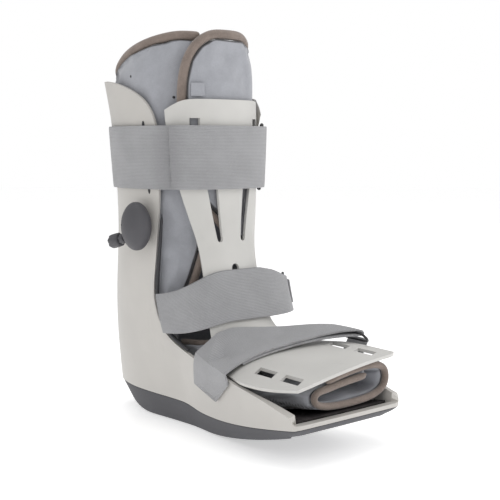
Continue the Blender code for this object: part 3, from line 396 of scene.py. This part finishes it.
def rubber(name, colour, per_metre, roughness, speckle=0.12):
    """Dull rubber with a fine pebble and dusty patches."""
    paint = Paint(name, roughness, Specular_IOR_Level=0.35)
    place = paint.place()
    pebble = paint.cells(place, per_metre)
    dust = paint.noise(place, 22.0, 5.0, 0.6)
    dusty = paint.blend(dust.ramp(0.35, 0.8), tone(colour, 1.0 - speckle), tone(colour, 1.0 + 2 * speckle))
    paint.colour(paint.blend(pebble.ramp(0.0, 0.6) * 0.3, dusty, tone(colour, 0.7)))
    paint.rough(roughness - 0.08 + dust * 0.16)
    paint.bump(1 - pebble, 0.00010, 0.6)
    return paint.material


def foam_pad(name, colour):
    """The dark insole's open foam with a pebbled skin."""
    paint = Paint(name, 0.85, Specular_IOR_Level=0.2)
    place = paint.place()
    pores = paint.cells(place, 900.0)
    patch = paint.noise(place, 120.0, 4.0)
    paint.colour(paint.blend(patch.ramp(0.35, 0.7), tone(colour, 0.75), tone(colour, 1.5)))
    paint.bump(pores + patch * 0.6, 0.0003, 0.8)
    return paint.material


def knit(paint, place, per_metre):
    """A closed knit as a height: three crossed waves, which look alike from every side."""
    x, y, z = paint.parts(place)
    k = TURN * per_metre
    x, y, z = x * k, y * k, z * k
    cos = [v.cosine() for v in (y, z, x)]
    return (x.sine() * cos[0] + y.sine() * cos[1] + z.sine() * cos[2]) * 0.33 + 0.5


def brushed_cloth(name, colour, seam_shade_colour):
    """Brushed loop cloth over padding, with a sunk seam beside every binding that is painted dark as the
    shade in the crease there, and painted shade on the faces that look into the hollow.
    """
    paint = Paint(name, 0.92, Sheen_Weight=0.35, Sheen_Roughness=0.5, Specular_IOR_Level=0.15)
    place = paint.place()
    loops = knit(paint, place, 620.0)
    nap = paint.noise(place, 900.0, 3.0, 0.7)
    brushed = paint.noise(place, 75.0, 4.0, 0.6)
    # Painted shade: the crease beside each binding is painted dark, and the bump sinks it.
    seam = (1 - paint.attribute("rim").ramp(*LEG_SEAM_SHADE)) * SEAM_SHADE_SHARE
    shade = paint.blend(brushed.ramp(0.3, 0.7), tone(colour, 0.93), tone(colour, 1.05))
    fuzzy = paint.blend(nap.ramp(0.35, 0.75) * 0.4, shade, tone(colour, 0.80))
    # Painted shade: faces that look into the hollow are darker.
    hollow_shade_and_lining = paint.blend(paint.attribute("inside"), fuzzy, tone(colour, 0.80))
    paint.colour(paint.blend(seam, hollow_shade_and_lining, seam_shade_colour))
    paint.bump(loops * 0.5 + nap + brushed * 1.5 - seam * 2.0, 0.00028, 0.55)
    return paint.material


def mesh_knit(name, colour, seam_shade_colour):
    """The foot wrap's cloth: brushed above, and an open ladder knit low on its sides and on its floor."""
    paint = Paint(name, 0.92, Sheen_Weight=0.3, Sheen_Roughness=0.5, Specular_IOR_Level=0.15)
    place = paint.place()
    _, y, z = paint.parts(place)
    nap = paint.noise(place, 900.0, 3.0, 0.7)
    brushed = paint.noise(place, 75.0, 4.0, 0.6)
    wave = (y * (TURN * WOBBLE)).sine() * 1.2
    ladder = ((y * (TURN * RUNGS)).sine() + (z * (TURN * COLUMNS) + wave).sine()).ramp(-0.2, 0.9)
    low = (1 - z.ramp(*KNIT_TOP)) * (1 - y.ramp(*KNIT_BACK))
    # Painted shade: the crease beside each binding is painted dark, and the bump sinks it.
    seam = (1 - paint.attribute("rim").ramp(*FOOT_SEAM_SHADE)) * SEAM_SHADE_SHARE
    shade = paint.blend(brushed.ramp(0.3, 0.7), tone(colour, 0.92), tone(colour, 1.04))
    fuzzy = paint.blend(nap.ramp(0.35, 0.75) * 0.4, shade, tone(colour, 0.80))
    holes = paint.blend(ladder * low * 0.85, fuzzy, tone(colour, 0.15))
    # Faces that look into the hollow take a lighter lining tone here; no shade is painted.
    hollow_shade_and_lining = paint.blend(paint.attribute("inside") * 0.7, holes, tone(colour, 1.12))
    paint.colour(paint.blend(seam, hollow_shade_and_lining, seam_shade_colour))
    paint.bump(nap + brushed * 1.2 - ladder * low * 1.5, 0.0003, 0.6)
    return paint.material


def binding_tape(name, colour):
    """Folded tape: a tight knit with light threads."""
    paint = Paint(name, 0.9, Sheen_Weight=0.3, Specular_IOR_Level=0.15)
    place = paint.place()
    loops = knit(paint, place, 700.0)
    nap = paint.noise(place, 700.0, 3.0, 0.7)
    worn = paint.noise(place, 90.0, 4.0)
    base = paint.blend(worn.ramp(0.3, 0.7), tone(colour, 0.88), tone(colour, 1.12))
    paint.colour(paint.blend(nap.ramp(0.4, 0.8) * 0.45, base, tone(colour, 1.45)))
    paint.bump(loops + nap * 0.7, 0.00022, 0.7)
    return paint.material


def webbing(name, colour, rib, lap=None):
    """Woven loop strap: ribs along it, finer threads across, a fuzzy nap and, at a lap, painted shade that
    deepens up to it and a darker band behind it, partly painted shade and partly a darker grid along its
    threads.
    """
    paint = Paint(name, 0.9, Sheen_Weight=0.35, Sheen_Roughness=0.5, Specular_IOR_Level=0.15)
    along, across, _ = paint.parts(paint.uv("strap"))
    place = paint.place()
    wander = paint.noise(place, 160.0, 3.0) * 1.6
    ribs = (across * (TURN / rib) + wander).sine() * 0.5 + 0.5
    threads = (along * (TURN / (rib * THREAD_TO_RIB)) + wander).sine() * 0.5 + 0.5
    nap = paint.noise(place, 1100.0, 3.0, 0.75)
    worn = paint.noise(place, 45.0, 4.0)
    shade = paint.blend(worn.ramp(0.3, 0.7), tone(colour, 0.93), tone(colour, 1.06))
    ribbed = paint.blend((1 - ribs) * 0.42 + (1 - threads) * 0.24, shade, tone(colour, 0.5))
    napped = paint.blend(nap.ramp(0.45, 0.8) * 0.35, ribbed, tone(colour, 1.35))
    if lap:
        start, line, end = [(TURN + math.radians(angle)) * STRAP_REACH for angle in lap]
        # Painted shade: before the lap the strap darkens up to the line; behind it a band is darkened evenly
        # as painted shade, and further along its threads as a darker grid.
        past = along.ramp(line, line + LAP_LINE)
        before = along.ramp(start, line) * (1 - past) * 0.22
        behind = past * (1 - along.ramp(line + LAP_LINE, end)) * 0.34
        napped = paint.blend(before + behind * (0.4 + (1 - threads) * 0.8), napped, tone(colour, 0.35))
    paint.colour(napped)
    paint.bump(ribs + threads * 0.45 + nap * 0.7, 0.00030, 0.75)
    return paint.material


def glossy_plastic(name, colour, roughness):
    """Hard black plastic with rubbed patches."""
    paint = Paint(name, roughness, Specular_IOR_Level=0.5)
    place = paint.place()
    rubbed = paint.noise(place, 180.0, 4.0)
    paint.colour(paint.blend(rubbed.ramp(0.4, 0.75), tone(colour, 1.0), tone(colour, 1.7)))
    paint.rough(roughness - 0.06 + rubbed * 0.2)
    paint.bump(rubbed, 0.00005, 0.5)
    return paint.material


# Settings

def swatch(label, what, colour):
    return bpy.props.FloatVectorProperty(
        name=label, description=what, default=colour, size=3, min=0.0, max=1.0, subtype="COLOR")


def number(label, what, value, **limits):
    return bpy.props.FloatProperty(name=label, description=what, default=value, **limits)


def measure(label, what, value, unit="LENGTH"):
    return number(label, what, value, min=0.0, unit=unit, precision=5)


class BootColours(bpy.types.PropertyGroup):
    """Base colours of the boot's finishes."""
    shell: swatch("Shell", "The moulded shell", (0.56, 0.54, 0.51))
    plate: swatch("Front plate", "The moulded front plate", (0.62, 0.61, 0.585))
    outsole: swatch("Sole", "The rubber sole", (0.098, 0.098, 0.107))
    insole: swatch("Insole", "The foam insole", (0.030, 0.026, 0.026))
    liner: swatch("Liner", "The padded liner's cloth", (0.385, 0.393, 0.425))
    # Painted shade: the dark colour painted in the crease beside a binding.
    seam: swatch("Seam", "The sewn line beside a binding", (0.035, 0.03, 0.03))
    binding: swatch("Binding", "The liner's edge tape", (0.235, 0.190, 0.165))
    strap: swatch("Strap", "The woven straps", (0.425, 0.425, 0.438))
    # The colour of the dark strips along the shell's front edge in its notch.
    trim: swatch("Shell trim", "The dark edging in the shell's notch", (0.05, 0.05, 0.055))
    # This black is also the painted shade of the slot ends and the bulb's air hole.
    ring: swatch("Rings", "The strap rings, snaps and slot ends", (0.018, 0.018, 0.020))
    pump: swatch("Pump", "The bulb, its collar and the valve", (0.098, 0.096, 0.105))
    floor: swatch("Floor", "The studio floor", (0.97, 0.97, 0.97))


class BootSizes(bpy.types.PropertyGroup):
    """Sizes of the boot's finer shapes."""
    edge: measure("Moulded edge", "Rounding of the moulded pieces' edges", 0.0007)
    soft_edge: measure("Strap edge", "Rounding of the straps' edges", 0.0006)
    puff: measure("Padding", "How far the padding may swell", 0.0045)
    rib: measure("Strap rib", "Spacing of the ribs woven along a strap", 0.0013)
    tape: measure("Tape loft", "How far the edge tape stands fuller than its solid", 0.0005)
    collar: measure("Collar tape loft", "The same for the wide tape round the top", 0.0014)
    pressure: number("Padding pressure", "Air pressure that swells the padding", 4.0, min=0.0)


class BootStage(bpy.types.PropertyGroup):
    """The studio: camera and lights."""
    azimuth: number("Azimuth", "Camera's angle round the boot", math.radians(-39.5), subtype="ANGLE")
    aside: number("Look aside", "How far the camera looks past the leg", math.radians(-3.35), subtype="ANGLE")
    pitch: number("Pitch", "How far the camera looks down", math.radians(5.4), subtype="ANGLE")
    height: measure("Height", "Camera's height over the floor", 0.261)
    distance: measure("Distance", "Camera's distance from the leg's axis", 1.070)
    focal: number("Focal length", "In millimetres on a 36 mm frame", 79.27, subtype="DISTANCE_CAMERA")
    key: measure("Key light", "Power of the large light on the left", 4.5, "POWER")
    fill: measure("Fill light", "Power of the light on the right", 9.0, "POWER")
    overhead: measure("Top light", "Power of the light overhead", 10.0, "POWER")
    world: number("Surroundings", "Light from all round", 0.55, min=0.0)
    glow: number("Floor glow", "Light from the floor itself", 0.46, min=0.0)


def colours():
    return bpy.context.scene.boot_colours


def sizes():
    return bpy.context.scene.boot_sizes


def stage_settings():
    return bpy.context.scene.boot_stage


# Pieces

def add_hard(node, name, material, levels=1, width=None, fuller=0.0):
    """A firm piece: the solid's own shape with rounded edges and fuller curves."""
    piece = copied(node, name)
    soften(piece, sizes().edge if width is None else width, levels)
    if fuller:
        modify(piece, "DISPLACE", strength=fuller, mid_level=0.0)
    dress(piece, node, material)


def inner_share(piece, hollow):
    """How far each point's face looks into the hollow rather than out, from 0 to 1."""
    shares = []
    for vertex in piece.data.vertices:
        inward = Vector(hollow(vertex.co)) - vertex.co
        shares.append(smoothstep(*HOLLOW_FACING, vertex.normal.dot(inward.normalized())))
    return shares


def swell(piece, obstacles, rims):
    """Swells the padding under air pressure where nothing holds it, and keeps it clear of what does."""
    rest = [v.co.copy() for v in piece.data.vertices]
    room = [gap_to(obstacles, co) for co in rest]
    rim_room = [gap_to(rims, co) for co in rest]
    held = piece.vertex_groups.new(name="held")
    for i, (a, b) in enumerate(zip(room, rim_room)):
        free = smoothstep(*HELD_BY_PARTS, a) * smoothstep(*HELD_BY_BINDINGS, b)
        held.add([i], 1 - free, "REPLACE")
    only(piece)
    cloth = piece.modifiers.new("cloth", "CLOTH")
    cloth.settings.effector_weights.gravity = 0
    cloth.settings.use_pressure = True
    cloth.settings.uniform_pressure_force = sizes().pressure
    cloth.settings.vertex_group_mass = "held"
    cloth.settings.shrink_min = -CLOTH_STRETCH
    cloth.settings.quality = CLOTH_QUALITY
    cloth.collision_settings.use_collision = False
    cloth.collision_settings.use_self_collision = False
    cloth.point_cache.frame_start = 1
    cloth.point_cache.frame_end = CLOTH_STEPS
    for step in range(1, CLOTH_STEPS + 1):
        bpy.context.scene.frame_set(step)
    bpy.ops.object.modifier_apply(modifier=cloth.name)
    bpy.context.scene.frame_set(1)
    for vertex, co, a, b in zip(piece.data.vertices, rest, room, rim_room):
        move = vertex.co - co
        most = min(sizes().puff, GAP_SHARE * a, GAP_SHARE * b)
        if move.length > most:
            vertex.co = co + move.normalized() * most
    piece.vertex_groups.clear()


def add_padding(node, name, material, hollow, others):
    """A padded part of the liner, swollen between the bindings, the shell and the straps."""
    piece = copied(node, name)
    crease(piece, PADDING_CREASE)
    modify(piece, "SUBSURF", levels=1, render_levels=1)
    rims = tree_of_nodes(*BINDING_NODES)
    swell(piece, tree_of_nodes(*HARD_NODES, *others), rims)
    modify(piece, "SUBSURF", levels=1, render_levels=1)
    piece.data.shade_smooth()
    set_attribute(piece, "rim", [gap_to(rims, v.co) for v in piece.data.vertices])
    set_attribute(piece, "inside", inner_share(piece, hollow))
    dress(piece, node, material)


def map_strap(piece, along, across, width):
    """A UV map in metres: u runs along the strap and v across it."""
    mesh = piece.data
    low = [None] * STRAP_STEPS
    high = [None] * STRAP_STEPS
    for vertex in mesh.vertices:
        k = int((along(vertex.co) / TURN % 1.0) * STRAP_STEPS) % STRAP_STEPS
        s = across(vertex.co)
        low[k] = s if low[k] is None else min(low[k], s)
        high[k] = s if high[k] is None else max(high[k], s)
    known = [k for k in range(STRAP_STEPS) if low[k] is not None]
    centres = np.array([(k + 0.5) / STRAP_STEPS * TURN for k in known])
    lows = np.array([low[k] for k in known])
    highs = np.array([high[k] for k in known])
    layer = mesh.uv_layers.new(name="strap")
    for face in mesh.polygons:
        turns = [along(mesh.vertices[mesh.loops[k].vertex_index].co) % TURN for k in face.loop_indices]
        if max(turns) - min(turns) > math.pi:
            turns = [t + TURN if t < math.pi else t for t in turns]
        for k, turn in zip(face.loop_indices, turns):
            co = mesh.vertices[mesh.loops[k].vertex_index].co
            bottom = np.interp(turn % TURN, centres, lows, period=TURN)
            top = np.interp(turn % TURN, centres, highs, period=TURN)
            share = (across(co) - bottom) / max(top - bottom, THINNEST)
            layer.data[k].uv = (turn * STRAP_REACH, share * width)


def add_strap(node, name, material, along, across, width):
    """A woven band: the solid's shape with soft edges, and a map that the weave follows."""
    piece = copied(node, name)
    soften(piece, sizes().soft_edge, 1)
    map_strap(piece, along, across, width)
    dress(piece, node, material)


# Angles round the boot, distances across its straps and its hollows' middles, each from a point.

def round_leg(co):
    return math.atan2(co.x, -(co.y - LEG_AXIS_Y))


def round_foot(co):
    return math.atan2(co.x, co.z - FOREFOOT_AXIS_Z)


def up_leg(co):
    return co.z


def down_foot(co):
    return FOREFOOT_FALL[0] * co.y + FOREFOOT_FALL[1] * co.z


def leg_hollow(co):
    return (LEG_MIDDLE_X, LEG_MIDDLE_Y, co.z)


def foot_hollow(co):
    return (FOOT_MIDDLE_X, co.y, FOOT_MIDDLE_Z)


def outward_hit(piece, angle, height):
    """Where a level line towards the leg's axis meets a piece from outside, and the way it faces there."""
    away = Vector((math.sin(math.radians(angle)), -math.cos(math.radians(angle)), 0))
    axis = Vector((0, LEG_AXIS_Y, height))
    place, normal = tree_of(piece.data).ray_cast(axis + away * RAY_LENGTH, -away)[:2]
    if place is None:
        raise RuntimeError("a stud's line misses " + piece.name)
    return place, normal


def add_stud(name, piece, angle, height, half_width, half_height, material):
    """A small dark dome, pressed flat on a piece's outside. It makes a snap, and makes the painted shade of a
    slot end and of the air hole.
    """
    place, normal = outward_hit(bpy.data.objects[piece], angle, height)
    bpy.ops.object.select_all(action="DESELECT")
    bpy.ops.mesh.primitive_uv_sphere_add(segments=24, ring_count=12, radius=1.0)
    stud = bpy.context.active_object
    stud.name = name
    level = Vector((0, 0, 1)).cross(normal).normalized()
    upright = normal.cross(level)
    for vertex in stud.data.vertices:
        x, y, z = vertex.co
        vertex.co = place + level * x * half_width + upright * y * half_height + normal * z * STUD_DEPTH
    stud.data.shade_smooth()
    dress(stud, None, material)


class BOOT_OT_sole(bpy.types.Operator):
    """Adds the rubber sole and the foam insole"""
    bl_idname = "boot.sole"
    bl_label = "Sole and insole"

    def execute(self, context):
        add_hard("outsole", "rubber_sole", rubber("sole_rubber", colours().outsole, 900.0, 0.62))
        add_hard("insole", "foam_insole", foam_pad("insole_foam", colours().insole))
        return {"FINISHED"}


class BOOT_OT_shell(bpy.types.Operator):
    """Adds the moulded shell and the front plate"""
    bl_idname = "boot.shell"
    bl_label = "Shell and front plate"

    def execute(self, context):
        shell = moulded_plastic("shell_plastic", colours().shell)
        add_hard("shell", "moulded_shell", shell, levels=2)
        plate = moulded_plastic("plate_plastic", colours().plate)
        add_hard("shin_plate", "front_plate", plate)
        return {"FINISHED"}


class BOOT_OT_trims(bpy.types.Operator):
    """Adds the dark strips along the shell's edge in its notch"""
    bl_idname = "boot.trims"
    bl_label = "Shell trims"

    def execute(self, context):
        # Dark strips along the shell's edge in its notch.
        dark_strip = rubber("trim_rubber", colours().trim, 1200.0, 0.6)
        for side in ("near", "far"):
            add_hard("shell_trim_" + side, "notch_trim_" + side, dark_strip, width=0.0)
        return {"FINISHED"}


class BOOT_OT_liner(bpy.types.Operator):
    """Adds the padded leg wrap, foot wrap and flap tab"""
    bl_idname = "boot.liner"
    bl_label = "Padded liner"

    def execute(self, context):
        # The seam colour is painted shade, for the crease beside each binding.
        seam = tone(colours().seam, 1.0)
        cloth = brushed_cloth("liner_cloth", colours().liner, seam)
        foot = mesh_knit("foot_cloth", colours().liner, seam)
        add_padding("liner_leg", "leg_wrap", cloth, leg_hollow, ("liner_foot",))
        add_padding("liner_foot", "foot_wrap", foot, foot_hollow, ("liner_leg",))
        tab = copied("liner_tab", "flap_tab")
        soften(tab, TAB_EDGE, 0)
        set_attribute(tab, "rim", [RIM_SEARCH] * len(tab.data.vertices))
        set_attribute(tab, "inside", [0.0] * len(tab.data.vertices))
        dress(tab, "liner_tab", cloth)
        return {"FINISHED"}


class BOOT_OT_bindings(bpy.types.Operator):
    """Adds the tape along the liner's edges"""
    bl_idname = "boot.bindings"
    bl_label = "Bindings"

    def execute(self, context):
        tape = binding_tape("binding_tape", colours().binding)
        for node in BINDING_NODES:
            loft = sizes().collar if node == "binding_collar" else sizes().tape
            add_hard(node, node.replace("binding", "tape"), tape, levels=2, width=0.0, fuller=loft)
        return {"FINISHED"}


class BOOT_OT_straps(bpy.types.Operator):
    """Adds the three woven straps"""
    bl_idname = "boot.straps"
    bl_label = "Straps"

    def execute(self, context):
        woven = webbing("strap_webbing", colours().strap, sizes().rib)
        lapped = webbing("calf_strap_webbing", colours().strap, sizes().rib, CALF_LAP)
        add_strap("calf_strap", "calf_webbing", lapped, round_leg, up_leg, CALF_WIDTH)
        add_strap("ankle_strap", "ankle_webbing", woven, round_leg, up_leg, NARROW_WIDTH)
        add_strap("forefoot_strap", "forefoot_webbing", woven, round_foot, down_foot, NARROW_WIDTH)
        return {"FINISHED"}


class BOOT_OT_rings(bpy.types.Operator):
    """Adds the strap rings and their fixings"""
    bl_idname = "boot.rings"
    bl_label = "Rings"

    def execute(self, context):
        black = glossy_plastic("ring_plastic", colours().ring, 0.35)
        for node in ("calf_ring", "ankle_ring", "forefoot_ring"):
            add_hard(node, node.replace("_ring", "_strap_ring"), black, width=0.0)
        woven = webbing("fixing_webbing", colours().strap, sizes().rib)
        add_strap("ankle_anchor", "ankle_ring_fixing", woven, round_leg, up_leg, NARROW_WIDTH)
        add_strap("forefoot_anchor", "forefoot_ring_fixing", woven, round_foot, down_foot, NARROW_WIDTH)
        return {"FINISHED"}


class BOOT_OT_pump(bpy.types.Operator):
    """Adds the air pump: its bulb, collar and valve"""
    bl_idname = "boot.pump"
    bl_label = "Air pump"

    def execute(self, context):
        skin = rubber("pump_rubber", colours().pump, 2400.0, 0.5, speckle=0.06)
        for node, name in (("pump_bulb", "bulb"), ("pump_collar", "bulb_collar"),
                           ("pump_valve", "release_valve")):
            add_hard(node, name, skin, levels=2, width=0.0)
        return {"FINISHED"}


class BOOT_OT_details(bpy.types.Operator):
    """Adds the snaps on the liner, and dark patches of painted shade at the slot ends on the shell and at the
    bulb's air hole
    """
    bl_idname = "boot.details"
    bl_label = "Snaps and slot ends"

    def execute(self, context):
        # The snaps are dark plastic; at the slot ends and the air hole the same dark is painted shade.
        dark = glossy_plastic("stud_plastic", colours().ring, 0.45)
        for row in STUDS:
            add_stud(*row, dark)
        return {"FINISHED"}


def area_light(name, place, target, size, power):
    """A round lamp that shines at its target."""
    lamp = bpy.data.lights.new(name, "AREA")
    lamp.shape = "DISK"
    lamp.size = size
    lamp.energy = power
    made = bpy.data.objects.new(name, lamp)
    bpy.context.scene.collection.objects.link(made)
    made.location = place
    made.rotation_euler = (Vector(target) - Vector(place)).to_track_quat("-Z", "Y").to_euler()


class BOOT_OT_stage(bpy.types.Operator):
    """Adds the floor, the lights, the surroundings and the camera"""
    bl_idname = "boot.stage"
    bl_label = "Studio"

    def execute(self, context):
        chosen = stage_settings()
        bpy.ops.object.select_all(action="DESELECT")
        bpy.ops.mesh.primitive_circle_add(
            vertices=96, radius=FLOOR_RADIUS, fill_type="NGON", location=(0, 0, -FLOOR_DROP))
        floor = bpy.context.active_object
        floor.name = "studio_floor"
        bpy.ops.object.transform_apply(location=True, rotation=False, scale=False)
        paint = Paint("floor_paint", 0.35, Specular_IOR_Level=0.3, Emission_Color=(1, 1, 1, 1),
                      Emission_Strength=chosen.glow)
        cloud = paint.noise(paint.place(), 2.0, 2.0)
        paint.colour(paint.blend(cloud, tone(colours().floor, 0.99), tone(colours().floor, 1.01)))
        floor.data.materials.append(paint.material)
        world = bpy.data.worlds.new("studio_surroundings")
        world.use_nodes = True
        seen = world.node_tree.nodes.new("ShaderNodeLightPath").outputs["Is Camera Ray"]
        ranged = world.node_tree.nodes.new("ShaderNodeMapRange")
        ranged.inputs["To Min"].default_value = chosen.world
        world.node_tree.links.new(seen, ranged.inputs["Value"])
        backdrop = world.node_tree.nodes["Background"]
        backdrop.inputs["Color"].default_value = (1, 1, 1, 1)
        world.node_tree.links.new(ranged.outputs["Result"], backdrop.inputs["Strength"])
        context.scene.world = world
        for name, place, target, size, power in LIGHTS:
            area_light(name, place, target, size, getattr(chosen, power))
        camera = bpy.data.objects.new("camera", bpy.data.cameras.new("camera"))
        context.scene.collection.objects.link(camera)
        camera.data.sensor_width = SENSOR
        camera.data.lens = chosen.focal
        camera.location = (chosen.distance * math.sin(chosen.azimuth),
                           -chosen.distance * math.cos(chosen.azimuth), chosen.height)
        heading = chosen.azimuth + chosen.aside
        level = Vector((-math.sin(heading), math.cos(heading), 0))
        forward = level * math.cos(chosen.pitch) + Vector((0, 0, -math.sin(chosen.pitch)))
        camera.rotation_euler = forward.to_track_quat("-Z", "Y").to_euler()
        context.scene.camera = camera
        context.scene.view_settings.view_transform = "Standard"
        return {"FINISHED"}


class BOOT_PT_panel(bpy.types.Panel):
    """The boot's sizes, colours and pieces"""
    bl_idname = "BOOT_PT_panel"
    bl_label = "Walking boot"
    bl_space_type = "VIEW_3D"
    bl_region_type = "UI"
    bl_category = "Boot"

    def draw(self, context):
        for title, group in (("Sizes", sizes()), ("Colours", colours()), ("Studio", stage_settings())):
            box = self.layout.box()
            box.label(text=title)
            for key in group.bl_rna.properties.keys():
                if key not in ("rna_type", "name"):
                    box.prop(group, key)
        column = self.layout.column()
        for piece in PIECES:
            column.operator(piece.bl_idname)


GROUPS = (("boot_colours", BootColours), ("boot_sizes", BootSizes), ("boot_stage", BootStage))
PIECES = (BOOT_OT_sole, BOOT_OT_shell, BOOT_OT_trims, BOOT_OT_liner, BOOT_OT_bindings, BOOT_OT_straps,
          BOOT_OT_rings, BOOT_OT_pump, BOOT_OT_details, BOOT_OT_stage)


def register():
    for key, group in GROUPS:
        bpy.utils.register_class(group)
        setattr(bpy.types.Scene, key, bpy.props.PointerProperty(type=group))
    for piece in PIECES:
        bpy.utils.register_class(piece)
    bpy.utils.register_class(BOOT_PT_panel)


def unregister():
    bpy.utils.unregister_class(BOOT_PT_panel)
    for piece in reversed(PIECES):
        bpy.utils.unregister_class(piece)
    for key, group in reversed(GROUPS):
        delattr(bpy.types.Scene, key)
        bpy.utils.unregister_class(group)


def main():
    register()
    for piece in PIECES:
        family, call = piece.bl_idname.split(".")
        getattr(getattr(bpy.ops, family), call)()


if __name__ == "__main__":
    main()
